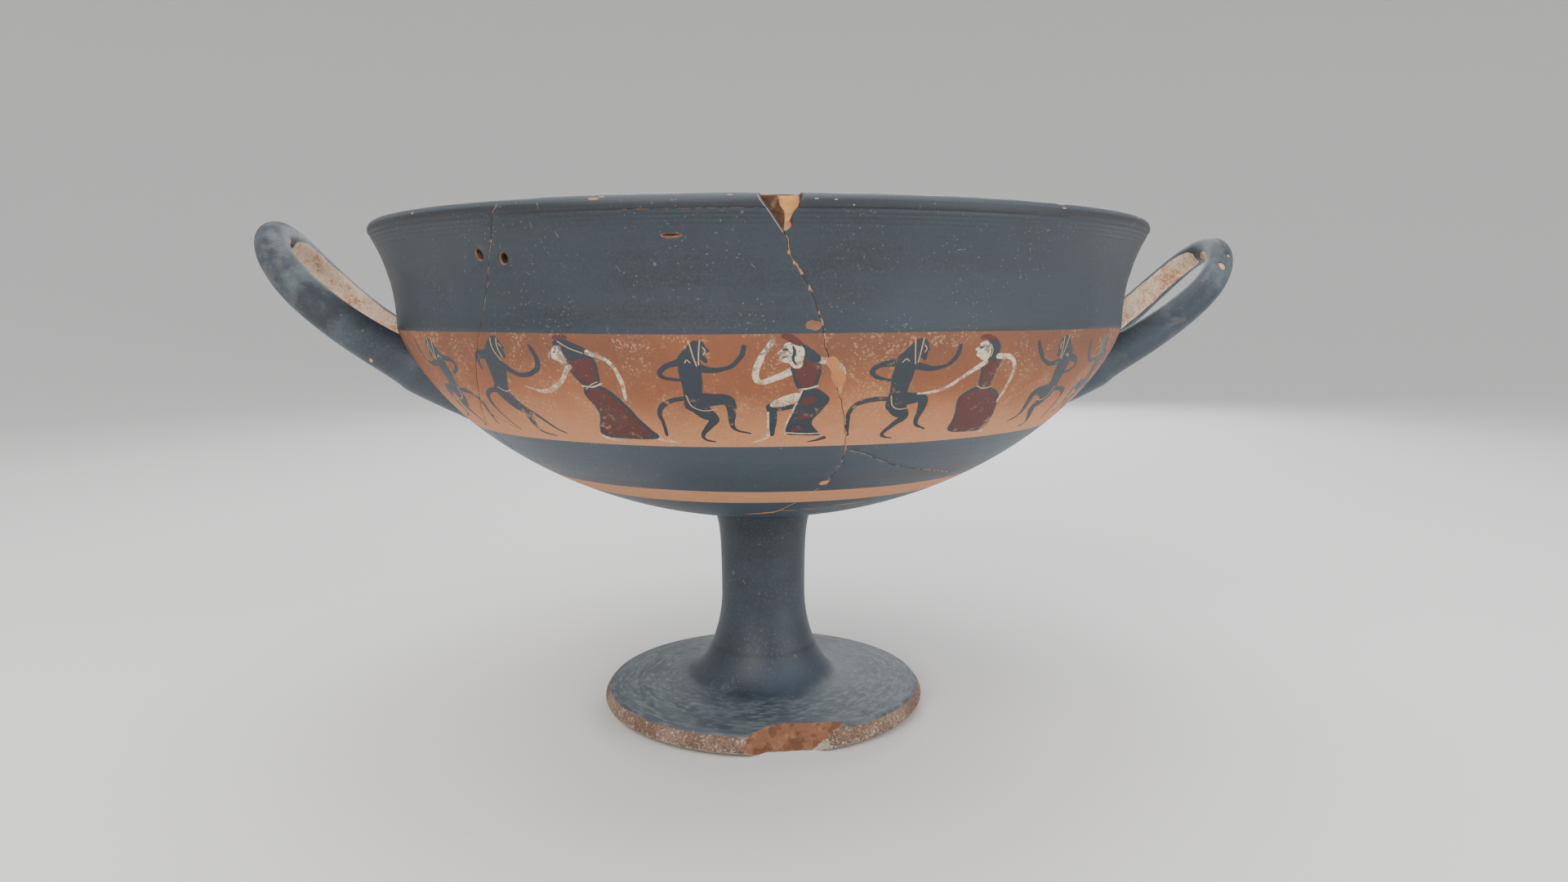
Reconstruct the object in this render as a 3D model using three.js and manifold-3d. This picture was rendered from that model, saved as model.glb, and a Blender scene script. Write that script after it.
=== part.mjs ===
// A kylix: a Greek drinking cup on a tall stem, thrown and fired as one piece of clay.
// Millimetres, +Z up. The origin is on the cup's axis, on the plane that the foot stands on.
// The two loop handles lie along X, and the front of the cup faces -Y.

import * as THREE from 'three';
import { mergeVertices } from 'three/addons/utils/BufferGeometryUtils.js';
import Module from 'manifold-3d';

// Foot: a disc with a bulging edge, hollow underneath

const footEdgeHeight = 6.8;
const footTopRadius = 47.1;
const footUndercut = 2.2;
const footRestWidth = 6.5;
const footEdgeBulge = 4.6;
const footTopRise = 0.1;
const footThickness = 5;

// Stem, from the waist down to the foot and up to the bowl

const standHeight = 60;
const stemRadius = 12.8;
const stemWaistHeight = 34.3;
const stemBaseRadius = 24;
const stemTopRadius = 15;
const stemWall = 5.2;
const hollowTopDrop = 10;

// Bowl: an open curve up to the shoulder, where the concave lip begins

const bowlDepth = 56.2;
const shoulderRadius = 103.6;
const lipHeight = 27.6;
const lipOverhang = 6.4;
const lipLean = THREE.MathUtils.degToRad(30);
const wall = 4;
const floorThickness = 6;

// Handles: round rods, each bent to a loop and then upward. Made by hand, they differ a little.

const handleRootDrop = 17;
const handleBury = 10.4;
const handleRootHalfWidth = 19.5;
const handleRootRadius = 6.7;
const handleTipRadius = 4.2;
const handleTaper = 1.35;
const handleBend = 20;
const handleForwardTurn = THREE.MathUtils.degToRad(2.6);
const leftHandle = { side: -1, reach: 31.9, rise: 25.2, halfWidth: 22.5 };
const rightHandle = { side: 1, reach: 34.8, rise: 22.8, halfWidth: 19.6 };

// Losses: a spall on the lip, a spall on the foot's edge, two mending holes.
// Azimuths are turned from the front, positive toward +X.

const lipSpallAzimuth = -3.6;
const lipSpallDrop = 7.7;
const lipSpallLeft = 4.9;
const lipSpallRight = 3.6;
const lipSpallDepth = 3.1;

const footSpallTopDepth = 5.6;
const footSpallUnderDepth = 4.3;
const footSpallAzimuth = 0;
const footSpallLeftDepth = 14.1;
const footSpallLeftAzimuth = 34.5;
const footSpallRightDepth = 25.2;
const footSpallRightAzimuth = -47.3;
const footSpallRightLean = THREE.MathUtils.degToRad(47.3);

const mendingHoleRadius = 1.1;
const mendingHoleDepth = 3;
const mendingHoleDrop = 11.5;
const mendingHoleAzimuths = [-41.6, -37.7];

// How finely the curves are cut into facets

const turnFacets = 60;
const rodFacets = 10;
const rodSteps = 28;
const bowlSteps = 12;
const lipSteps = 5;

// Heights and radii that follow from the sizes above

const shoulderHeight = standHeight + bowlDepth;
const cupHeight = shoulderHeight + lipHeight;
const lipRadius = shoulderRadius + lipOverhang;
const footRestRadius = footTopRadius - footUndercut;
const hollowHeight = standHeight - hollowTopDrop;
const lipRound = wall / 2;
const point = (radius, height) => new THREE.Vector2(radius, height);
const alongCurve = (from, pullFrom, pullTo, to, steps) =>
  new THREE.CubicBezierCurve(from, pullFrom, pullTo, to).getPoints(steps);
const withoutFirst = (points) => points.slice(1);
const withoutLast = (points) => points.slice(0, -1);

// The foot's edge, from the resting ring out over the bulge to the top corner
function footEdge() {
  const rest = point(footRestRadius, 0);
  const corner = point(footTopRadius, footEdgeHeight);
  const bulge = point(footTopRadius + footEdgeBulge, footEdgeHeight / 3);
  return new THREE.QuadraticBezierCurve(rest, bulge, corner).getPoints(4);
}

// The foot's top, from the stem's base out to the edge, falls evenly
function footTopHeight(radius) {
  return footEdgeHeight + footTopRise * (footTopRadius - radius);
}

// The stem's outline from its waist down, swinging out into the foot's top
function stemBelowWaist() {
  const base = point(stemBaseRadius, footTopHeight(stemBaseRadius));
  const swing = 0.5 * (stemBaseRadius - stemRadius);
  const nearBase = point(base.x - swing, base.y + footTopRise * swing);
  const belowWaist = point(stemRadius, base.y + 0.54 * (stemWaistHeight - base.y));
  return alongCurve(point(stemRadius, stemWaistHeight), belowWaist, nearBase, base, 7);
}

// The stem's outline from its waist up to the underside of the bowl
function stemAboveWaist() {
  const rise = standHeight - stemWaistHeight;
  const flare = stemTopRadius - stemRadius;
  const waist = point(stemRadius, stemWaistHeight);
  const aboveWaist = point(stemRadius, stemWaistHeight + 0.75 * rise);
  const nearBowl = point(stemRadius + 0.3 * flare, stemWaistHeight + 0.87 * rise);
  return alongCurve(waist, aboveWaist, nearBowl, point(stemTopRadius, bowlUnderside(stemTopRadius)), 4);
}

// The bowl's outer curve, from its lowest point on the axis up to the shoulder
function bowlCurve() {
  const lowest = point(0, standHeight);
  const flatPull = point(0.587 * shoulderRadius, standHeight);
  const shoulderPull = point(0.955 * shoulderRadius, standHeight + 0.658 * bowlDepth);
  return new THREE.CubicBezierCurve(lowest, flatPull, shoulderPull, point(shoulderRadius, shoulderHeight));
}

const bowlRun = bowlCurve().getPoints(bowlSteps);

function bowlUnderside(radius) {
  const above = bowlRun.findIndex((p) => p.x >= radius);
  const inner = bowlRun[above - 1];
  const outer = bowlRun[above];
  return THREE.MathUtils.mapLinear(radius, inner.x, outer.x, inner.y, outer.y);
}

function bowlRadiusAt(height) {
  const above = bowlRun.findIndex((p) => p.y >= height);
  const lower = bowlRun[above - 1];
  const upper = bowlRun[above];
  return THREE.MathUtils.mapLinear(height, lower.y, upper.y, lower.x, upper.x);
}

// The lip flares from the shoulder, and its power makes it meet the rounded top in line
const lipCentre = point(lipRadius - lipRound, cupHeight - lipRound);
const flareEnd = point(
  lipCentre.x + lipRound * Math.cos(lipLean),
  lipCentre.y - lipRound * Math.sin(lipLean),
);
const flareRise = flareEnd.y - shoulderHeight;
const flareOut = flareEnd.x - shoulderRadius;
const flarePower = Math.tan(lipLean) * flareRise / flareOut;

function lipRadiusAt(height) {
  const share = (height - shoulderHeight) / flareRise;
  return shoulderRadius + flareOut * share ** flarePower;
}

function lipFlare() {
  return Array.from({ length: lipSteps + 1 }, (_, i) => {
    const height = shoulderHeight + flareRise * i / lipSteps;
    return point(lipRadiusAt(height), height);
  });
}

// The rounded top of the lip, from the end of the flare over to the inside
function lipTop() {
  return Array.from({ length: lipSteps + 1 }, (_, i) => {
    const angle = -lipLean + Math.PI * i / lipSteps;
    return point(lipCentre.x + lipRound * Math.cos(angle), lipCentre.y + lipRound * Math.sin(angle));
  });
}

// A run of outline points, moved to its left by a thickness of clay
function inset(points, thickness) {
  return points.map((p, i) => {
    const before = points[Math.max(i - 1, 0)];
    const after = points[Math.min(i + 1, points.length - 1)];
    const along = after.clone().sub(before).normalize();
    const depth = thickness(p);
    return point(Math.max(p.x - along.y * depth, 0), p.y + along.x * depth);
  });
}

// The inside of the bowl, from the middle of its floor up to the lip's round
function insideRun() {
  const outer = [...bowlRun, ...withoutFirst(lipFlare())];
  const thickness = (p) => {
    const share = Math.min(p.x / shoulderRadius, 1);
    return THREE.MathUtils.lerp(floorThickness, wall, share);
  };
  return inset(outer, thickness);
}

// The hollow under the foot, from its closed top in the stem down to the resting ring
function hollowRun() {
  const foot = point(footTopRadius, footTopHeight(footTopRadius));
  const outer = [...stemBelowWaist(), foot];
  const skin = (p) => (p.x > stemBaseRadius ? footThickness : stemWall);
  const inner = inset(outer.reverse(), skin).reverse();
  const bore = stemRadius - stemWall;
  const top = point(0, hollowHeight);
  const dome = new THREE.QuadraticBezierCurve(top, point(bore, hollowHeight), point(bore, hollowHeight - bore));
  const restEdge = point(footRestRadius - footRestWidth, 0);
  const inside = inner.filter((p) => p.x < restEdge.x && p.y > 0);
  return [...dome.getPoints(3), ...inside, restEdge];
}

// Solids, and booleans between them

const wasm = await Module();
wasm.setup();

function solidFrom(geometry) {
  const bare = geometry.clone();
  bare.deleteAttribute('normal');
  bare.deleteAttribute('uv');
  const merged = mergeVertices(bare, 1e-4);
  const corners = merged.index.array;
  const kept = [];
  for (let i = 0; i < corners.length; i += 3) {
    const [a, b, c] = corners.slice(i, i + 3);
    if (a !== b && b !== c && c !== a) {
      kept.push(a, b, c);
    }
  }
  const mesh = new wasm.Mesh({
    numProp: 3,
    vertProperties: new Float32Array(merged.attributes.position.array),
    triVerts: new Uint32Array(kept),
  });
  return new wasm.Manifold(mesh);
}

function geometryFrom(solid) {
  const mesh = solid.getMesh();
  const geometry = new THREE.BufferGeometry();
  geometry.setAttribute('position', new THREE.BufferAttribute(mesh.vertProperties, 3));
  geometry.setIndex(new THREE.BufferAttribute(mesh.triVerts, 1));
  geometry.computeVertexNormals();
  return geometry;
}

// A profile turned about the cup's axis
function turned(profile) {
  const geometry = new THREE.LatheGeometry(profile, turnFacets);
  geometry.rotateX(Math.PI / 2);
  return solidFrom(geometry);
}

function cupBody() {
  const inside = insideRun();
  return turned([
    ...hollowRun(),
    ...footEdge(),
    ...withoutLast(stemBelowWaist().reverse()),
    ...stemAboveWaist(),
    ...bowlRun.filter((p) => p.x > stemTopRadius + 1),
    ...withoutLast(withoutFirst(lipFlare())),
    ...withoutLast(lipTop()),
    ...inside.reverse(),
  ]);
}

// All that lies inside the bowl, up past the lip, which no handle may enter
function cupSpace() {
  const inside = insideRun();
  const rim = inside[inside.length - 1];
  return turned([...inside, point(rim.x, cupHeight + lipHeight), point(0, cupHeight + lipHeight)]);
}

// The centre line of one handle, from its front root round the loop to its back root.
// It follows an upright profile outward and upward, and a U shape from side to side.
class HandleLine extends THREE.Curve {
  constructor({ side, reach, rise, halfWidth }) {
    super();
    const rootHeight = shoulderHeight - handleRootDrop;
    const root = point(bowlRadiusAt(rootHeight) - handleBury, rootHeight);
    const tip = point(shoulderRadius + reach, shoulderHeight + rise);
    const pull = point(
      THREE.MathUtils.lerp(root.x, tip.x, 0.76),
      THREE.MathUtils.lerp(root.y, tip.y, 0.42),
    );
    this.profile = new THREE.QuadraticBezierCurve(root, pull, tip);
    this.side = side;
    this.halfWidth = halfWidth;
  }

  // How far along the profile, as a share of it, and how far across a place on the line is
  spread(share) {
    const towardTip = 1 - Math.abs(2 * share - 1);
    const legShare = 0.5;
    const onLeg = Math.min(towardTip / legShare, 1);
    const bent = Math.max(towardTip - legShare, 0) / (1 - legShare) * Math.PI / 2;
    const length = this.profile.getLength();
    const onward = (length - handleBend) * onLeg + handleBend * Math.sin(bent);
    const spreading = THREE.MathUtils.smoothstep(onLeg, 0, 1);
    const half = THREE.MathUtils.lerp(handleRootHalfWidth, this.halfWidth, spreading);
    return [onward / length, half * Math.cos(bent) * (share < 0.5 ? -1 : 1)];
  }

  getPoint(share) {
    const [onward, across] = this.spread(share);
    const onProfile = this.profile.getPointAt(onward);
    return new THREE.Vector3(this.side * onProfile.x, across, onProfile.y);
  }

  // The direction that stands square on the bent loop, toward the bowl
  getOver(share) {
    const [onward] = this.spread(share);
    const along = this.profile.getTangentAt(onward);
    return new THREE.Vector3(-this.side * along.y, 0, along.x);
  }
}

function rodRadius(share) {
  const toRoot = Math.abs(2 * share - 1);
  return THREE.MathUtils.lerp(handleTipRadius, handleRootRadius, toRoot ** handleTaper);
}

// One handle: a straight rod whose rings are carried along the centre line
function handle(shape) {
  const line = new HandleLine(shape);
  const rod = new THREE.CylinderGeometry(1, 1, 1, rodFacets, rodSteps);
  const places = rod.attributes.position;
  for (let i = 0; i < places.count; i += 1) {
    const share = line.getUtoTmapping(places.getY(i) + 0.5);
    const along = line.getTangent(share);
    const over = line.getOver(share);
    const across = along.clone().cross(over);
    const radius = rodRadius(share);
    const place = line.getPoint(share);
    place.addScaledVector(across, radius * places.getX(i));
    place.addScaledVector(over, radius * places.getZ(i));
    places.setXYZ(i, place.x, place.y, place.z);
  }
  rod.rotateZ(-shape.side * handleForwardTurn);
  return solidFrom(rod);
}

// A direction from the cup's axis, for an azimuth in degrees from the front
function outwardAt(azimuth) {
  const angle = THREE.MathUtils.degToRad(azimuth);
  return new THREE.Vector3(Math.sin(angle), -Math.cos(angle), 0);
}

// A prism that cuts inward from outside. Its inner face is the broken surface: an outline as seen
// from the front, with X to the right and Y up from a height, which leans back by an angle as it rises.
function cutter(outline, azimuth, distance, height, lean) {
  const reach = 30;
  const shape = new THREE.Shape(outline.map(([x, y]) => point(x, y)));
  const prism = new THREE.ExtrudeGeometry(shape, { depth: reach, bevelEnabled: false });
  prism.rotateX(Math.PI / 2 - lean);
  prism.rotateZ(THREE.MathUtils.degToRad(azimuth));
  const place = outwardAt(azimuth).multiplyScalar(distance).setZ(height);
  prism.translate(place.x, place.y, place.z);
  return solidFrom(prism);
}

// The spall on the lip: a triangle lost from the outer face, deepest at the top
function lipSpall() {
  const bottom = cupHeight - lipSpallDrop;
  const above = lipSpallDrop + lipRound;
  const outline = [
    [0, 0],
    [lipSpallRight * 0.5, lipSpallDrop * 0.2],
    [lipSpallRight * 0.4, lipSpallDrop * 0.5],
    [lipSpallRight, lipSpallDrop * 0.85],
    [lipSpallRight, above],
    [-lipSpallLeft, above],
    [-lipSpallLeft, lipSpallDrop],
  ];
  const back = lipRadiusAt(bottom) - (lipRadius - lipSpallDepth);
  return cutter(outline, lipSpallAzimuth, lipRadiusAt(bottom), bottom, Math.atan2(back, lipSpallDrop));
}

// The spall on the foot's edge: what lies beyond three planes of break that meet near the front
function footSpall() {
  const wide = 1.5 * footTopRadius;
  const high = 0.5 * footTopRadius;
  const outline = [
    [-wide, -high],
    [wide, -high],
    [wide, high],
    [-wide, high],
  ];
  const beyond = (azimuth, depth, lean) => cutter(outline, azimuth, footTopRadius - depth, 0, lean);
  const lean = Math.atan2(footSpallTopDepth - footSpallUnderDepth, footEdgeHeight);
  const face = beyond(footSpallAzimuth, footSpallUnderDepth, lean);
  const left = beyond(footSpallLeftAzimuth, footSpallLeftDepth, 0);
  const right = beyond(footSpallRightAzimuth, footSpallRightDepth, footSpallRightLean);
  return face.intersect(left).intersect(right);
}

// The holes of an ancient mending, drilled into the wall on either side of a crack
function mendingHole(azimuth) {
  const height = cupHeight - mendingHoleDrop;
  const over = 2;
  const drill = new THREE.CylinderGeometry(mendingHoleRadius, mendingHoleRadius, mendingHoleDepth + over, 10);
  drill.rotateZ(THREE.MathUtils.degToRad(azimuth));
  const distance = lipRadiusAt(height) + (over - mendingHoleDepth) / 2;
  const place = outwardAt(azimuth).multiplyScalar(distance).setZ(height);
  drill.translate(place.x, place.y, place.z);
  return solidFrom(drill);
}

function cup() {
  const handles = handle(leftHandle).add(handle(rightHandle));
  const whole = cupBody().add(handles.subtract(cupSpace()));
  const losses = [lipSpall(), footSpall(), ...mendingHoleAzimuths.map(mendingHole)];
  return losses.reduce((clay, loss) => clay.subtract(loss), whole);
}

// Black slip over orange clay
const slip = new THREE.MeshStandardMaterial({ color: 0x46525c, roughness: 0.5, metalness: 0 });

const kylix = new THREE.Mesh(geometryFrom(cup()), slip);
kylix.name = 'kylix';

const part = new THREE.Group();
part.add(kylix);

export default part;
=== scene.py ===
# %% [markdown]
# # A Greek drinking cup
#
# This cup is a kylix: a shallow bowl with a concave lip, on a tall stem and a disc foot, with a
# loop handle on either side. It was thrown on a wheel, coated with a clay slip that fires
# blue-black, and painted with a band of dancers on the bare orange clay. We dress a measured model
# of it.

# %% Load the measured frame
import math

import bpy
import numpy as np
from mathutils import Euler, Matrix, Vector, noise
from mathutils.geometry import delaunay_2d_cdt


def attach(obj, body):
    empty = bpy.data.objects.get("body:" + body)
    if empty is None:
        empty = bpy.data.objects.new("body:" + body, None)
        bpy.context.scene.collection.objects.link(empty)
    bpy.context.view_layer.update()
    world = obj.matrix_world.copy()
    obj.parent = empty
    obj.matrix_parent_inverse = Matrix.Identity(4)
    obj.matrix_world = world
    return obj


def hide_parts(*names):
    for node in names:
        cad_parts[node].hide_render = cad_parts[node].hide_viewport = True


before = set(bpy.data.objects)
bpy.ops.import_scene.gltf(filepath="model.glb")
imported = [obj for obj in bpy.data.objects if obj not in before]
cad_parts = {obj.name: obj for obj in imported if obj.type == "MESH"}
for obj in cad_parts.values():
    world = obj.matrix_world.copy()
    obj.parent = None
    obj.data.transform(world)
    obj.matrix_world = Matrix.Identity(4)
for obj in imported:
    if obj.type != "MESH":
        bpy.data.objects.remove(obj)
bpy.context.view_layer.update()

# %% [markdown]
# ## The camera
#
# We could place a camera by eye, but the cup's circles give it away: lip, painted lines and foot
# are round, so their ellipses fix where the photographer stood. All sizes below are millimetres,
# because a potter thinks in them, and one factor brings them to Blender's metres.

# %% Camera
MM = 0.001
camera_place = Vector((-34.1, -321.5, 120.3)) * MM
look_down = math.radians(6.93)
look_right = math.radians(7.22)
camera_roll = math.radians(-0.16)
view_width = math.radians(72.73)

camera = bpy.data.objects.new("camera", bpy.data.cameras.new("camera"))
bpy.context.scene.collection.objects.link(camera)
camera.data.sensor_fit = "HORIZONTAL"
camera.data.angle = view_width
camera.data.clip_start = 10 * MM
aim = Euler((math.pi / 2 - look_down, 0, -look_right)).to_matrix().to_4x4()
camera.matrix_world = Matrix.Translation(camera_place) @ aim @ Matrix.Rotation(camera_roll, 4, "Z")
bpy.context.scene.camera = camera
print("camera lens", round(camera.data.lens, 2), "mm")

# %% [markdown]
# ## Curves of the profile
#
# A thrown pot is one profile turned about an axis, so most of the work is the profile. We draw it
# with Bezier curves, as the measured model does, but with many more points, and as arrays of
# (radius, height), which makes moving and measuring them one line each.

# %% Curve helpers
def curve(*pulls, steps=120):
    """Points on a Bezier curve, by drawing lines between lines."""
    share = np.linspace(0, 1, steps + 1)[:, None]
    points = [np.array(pull, float) + 0 * share for pull in pulls]
    while len(points) > 1:
        points = [a + share * (b - a) for a, b in zip(points, points[1:])]
    return points[0]


def lengths(line):
    """How far along the line each of its points lies."""
    return np.concatenate([[0], np.cumsum(np.hypot(*np.diff(line, axis=0).T))])


def at(line, distance):
    """Points at some distances along a line."""
    run = lengths(line)
    return np.stack([np.interp(distance, run, line[:, 0]), np.interp(distance, run, line[:, 1])], -1)


def spaced(line, gap):
    """The line again, with evenly spaced points."""
    total = lengths(line)[-1]
    return at(line, np.linspace(0, total, max(int(round(total / gap)), 1) + 1))


def joined(*lines):
    """Lines that follow each other, without doubling the points where they meet."""
    points = np.concatenate(lines)
    apart = np.hypot(*np.diff(points, axis=0).T) > 1e-6
    return points[np.concatenate([[True], apart])]


def moved_left(line, depth):
    """The line moved sideways, to the left of its own direction."""
    along = np.gradient(line, axis=0)
    along /= np.hypot(*along.T)[:, None]
    moved = line + np.stack([-along[:, 1], along[:, 0]], -1) * np.reshape(depth, (-1, 1))
    moved[:, 0] = np.maximum(moved[:, 0], 0)
    return moved


print("a quarter turn measures", round(lengths(curve((1, 0), (1, 0.55), (0.55, 1), (0, 1)))[-1], 3))

# %% [markdown]
# ## The profile of the cup
#
# The sizes are those of the measured model: a foot of about 98 mm, a stem 25 mm thick, and a lip
# of 220 mm that flares out of a shoulder. The wall is 4 mm thick at the shoulder and 6 mm in the
# middle of the floor, and the foot is hollow underneath, up into the stem.

# %% Profile
stand_height, bowl_depth, shoulder_radius = 60, 56.2, 103.6
lip_height, lip_overhang, lip_lean = 27.6, 6.4, math.radians(30)
wall, floor_thickness = 4, 6
foot_top_radius, foot_rest_radius, foot_rest_inner = 47.1, 44.9, 38.4
foot_edge_height, foot_bulge, foot_slope = 6.8, 4.6, 0.1
stem_radius, stem_waist, stem_base, stem_top = 12.8, 34.3, 24, 15
hollow_height, bore = 50, 7.6

shoulder_height = stand_height + bowl_depth
cup_height = shoulder_height + lip_height
lip_round = wall / 2
lip_centre = np.array([shoulder_radius + lip_overhang - lip_round, cup_height - lip_round])

bowl = curve((0, stand_height), (0.587 * shoulder_radius, stand_height),
             (0.955 * shoulder_radius, stand_height + 0.658 * bowl_depth),
             (shoulder_radius, shoulder_height), steps=300)
flare_end = lip_centre + lip_round * np.array([math.cos(lip_lean), -math.sin(lip_lean)])
flare_out, flare_rise = flare_end[0] - shoulder_radius, flare_end[1] - shoulder_height
flare_power = math.tan(lip_lean) * flare_rise / flare_out
share = np.linspace(0, 1, 80)
flare = np.stack([shoulder_radius + flare_out * share ** flare_power,
                  shoulder_height + flare_rise * share], -1)
turn = np.linspace(-lip_lean, math.pi - lip_lean, 60)
lip_top = lip_centre + lip_round * np.stack([np.cos(turn), np.sin(turn)], -1)
outside = joined(bowl, flare)
thickness = floor_thickness + (wall - floor_thickness) * np.minimum(outside[:, 0] / shoulder_radius, 1)
inside = moved_left(outside, thickness)[::-1]


def foot_top_height(radius):
    return foot_edge_height + foot_slope * (foot_top_radius - radius)


swing = 0.5 * (stem_base - stem_radius)
base = (stem_base, foot_top_height(stem_base))
below_waist = curve(base, (base[0] - swing, base[1] + foot_slope * swing),
                    (stem_radius, base[1] + 0.54 * (stem_waist - base[1])), (stem_radius, stem_waist))
stem_end = (stem_top, float(np.interp(stem_top, bowl[:, 0], bowl[:, 1])))
above_waist = curve((stem_radius, stem_waist),
                    (stem_radius, stem_waist + 0.75 * (stand_height - stem_waist)),
                    (stem_radius + 0.3 * (stem_top - stem_radius),
                     stem_waist + 0.87 * (stand_height - stem_waist)), stem_end)
print("cup height", cup_height, "lip radius", lip_centre[0] + lip_round)

# %% [markdown]
# ## Building by rows
#
# A turned surface could come from Blender's Screw or Spin, but we want the same columns in every
# part so that the parts join, and a paint number on every face. So each part adds its points, its
# faces and its paint to shared lists, and points that coincide are merged at the end. Azimuths are
# turned from the front, which looks toward -Y, and grow toward +X.

# %% Columns and shared lists
SLIP, CLAY, FIGURE, RED, WHITE, LINE, BREAK, FILL, RECESS_SHADE, BARE, SPALL, DEPOSIT, HAIRLINE, SHADE, PALE_AND_LIT = range(15)
paint_count = 16

columns = np.union1d(np.arange(-180, 181, 2.0), np.arange(-27, 28, 0.75))


class Shell:
    """Points in millimetres, faces, a paint number per face, and which points keep a known normal."""

    def __init__(self):
        self.points, self.normals, self.faces, self.paint = [], [], [], []

    def add(self, points, faces, paint, normals=None):
        start = sum(len(block) for block in self.points)
        self.points.append(points)
        self.normals.append(np.zeros_like(points) if normals is None else normals)
        self.faces += [[start + corner for corner in face] for face in faces]
        self.paint += list(paint)

    def add_rows(self, rows, paint_of_row):
        """Rows of points that follow each other, each row one turn round the cup."""
        high, wide = rows.shape[:2]
        corner = np.arange(high * wide).reshape(high, wide)
        faces = np.stack([corner[:-1, :-1], corner[:-1, 1:], corner[1:, 1:], corner[1:, :-1]], -1)
        self.add(rows.reshape(-1, 3), faces.reshape(-1, 4).tolist(), np.repeat(paint_of_row, wide - 1))


def around(radius, height, azimuth):
    """Points on the cup from radius, height and azimuth in degrees."""
    angle = np.radians(azimuth)
    radius, height, angle = np.broadcast_arrays(radius, height, angle)
    return np.stack([radius * np.sin(angle), -radius * np.cos(angle), height], -1)


def turned(line):
    """One row of points per point of a profile line."""
    return around(line[:, :1], line[:, 1:], columns)


cup = Shell()
print(len(columns), "columns")

# %% [markdown]
# ## Foot and stem
#
# Under the foot a cone runs up into the stem, as the potter hollowed it out. The foot stands on a
# flat ring. Its edge has lost a long chip at the front, and a chip is where the clay beyond a
# plane of break has gone. So we take each point of the edge no further out than that plane, and
# the break gets the rough grain of fired clay. The resting ring and the edge were left bare.

# %% Foot and stem
front_top, front_under = 41.5, 42.8
left_turn, left_distance = 34.5, 33.0
right_turn, right_distance, right_lean = -47.3, 21.9, math.radians(47.3)


def break_radius(azimuth, height):
    """How far out the clay still reaches in a direction, at a height on the foot's edge."""
    def plane(turn, distance):
        return distance / np.maximum(np.cos(np.radians(azimuth - turn)), 0.05)

    front = plane(0, front_under + (front_top - front_under) * height / foot_edge_height)
    left = plane(left_turn, left_distance)
    right = plane(right_turn, right_distance - height * math.tan(right_lean))
    grain = np.array([[noise.noise((a * 0.35, h * 0.8, 3.1)) + 0.5 * noise.noise((a * 1.1, h * 1.9, 7.7))
                       for a in azimuth[0]] for h in height[:, 0]])
    return np.maximum(np.maximum(front, left), right) + 0.4 * grain


hollow = joined(
    curve((0, hollow_height), (bore, hollow_height), (bore, hollow_height - bore), steps=12),
    spaced(moved_left(below_waist, 5.2)[::-1], 2.5),
    [(foot_rest_inner - 8, foot_top_height(foot_rest_inner - 8) - 5),
     (foot_rest_inner - 1.5, foot_top_height(foot_rest_inner) - 5), (foot_rest_inner, 0)])
hollow = hollow[(hollow[:, 1] < hollow_height - bore + 1e-6) | (hollow[:, 0] <= bore + 1e-6)]
hollow = joined(hollow[:-1], spaced(hollow[-2:], 1))
hollow_paint = [SLIP if 26 < radius < 34 else BARE for radius in hollow[:-1, 0]]
cup.add_rows(turned(hollow), hollow_paint)

rest_ring = np.array([(foot_rest_inner, 0), (foot_rest_inner + 0.4, 0), (41, 0), (43, 0),
                      (foot_rest_radius - 0.4, 0)])
edge = spaced(curve((foot_rest_radius, 0), (foot_top_radius + foot_bulge, foot_edge_height / 3),
                    (foot_top_radius, foot_edge_height)), 0.4)
outline = joined(rest_ring, edge)
azimuth = columns[None]
whole = np.repeat(outline[:, :1], len(columns), 1)
limit = break_radius(azimuth, outline[:, 1:])
radius = np.minimum(whole, limit)
height = np.repeat(outline[:, 1:], len(columns), 1)
top_lost = foot_top_radius - radius[-1]
height[-1] += foot_slope * top_lost
cup_rows = around(radius, height, azimuth)
lost = (whole - limit > 0.05)[:-1, :-1] & (whole - limit > 0.05)[1:, :-1]
edge_paint = np.full(lost.shape, BARE)
edge_paint[-2:] = SLIP
sound_turn = 11.5 + 1.75 * outline[:-1, 1:]
edge_paint[lost & (azimuth[:, :-1] < sound_turn)] = SPALL
start = len(cup.paint)
cup.add_rows(cup_rows, [BARE] * (len(outline) - 1))
cup.paint[start:] = edge_paint.reshape(-1).tolist()

top_share = np.concatenate([[0, 0.012, 0.03], np.linspace(0.06, 1, 16)])[:, None]
top_radius = radius[-1] + (stem_base - radius[-1]) * top_share
cup.add_rows(around(top_radius, foot_top_height(top_radius), azimuth), [SLIP] * (len(top_share) - 1))

stem = joined(spaced(below_waist, 0.9), spaced(above_waist, 1.5))
stem_rows = turned(stem)
step_height, step_size = 18.6, 0.16
across = stem_rows[..., 0] * 0.05
step = step_size * np.clip((step_height + across - stem_rows[..., 2]) / 0.8, 0, 1) \
    * np.clip((stem_rows[..., 2] - 10) / 6, 0, 1)
stem_rows[..., :2] *= 1 + (step / stem[:, :1])[..., None]
cup.add_rows(stem_rows, [SLIP] * (len(stem) - 1))
print(len(cup.paint), "faces in foot and stem")

# %% [markdown]
# ## The painted zone, laid flat
#
# From low on the bowl, up over the lip, the outside carries everything that is drawn or broken:
# bands, dancers, cracks, chips and drilled holes. We could paint an image, but an image blurs. A
# constrained triangulation keeps each painted edge as real edges of the mesh. We lay the zone out
# flat, with the turn across and the way up the profile upward, both in millimetres, draw polygons
# there, triangulate once, and roll the result up again.

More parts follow.
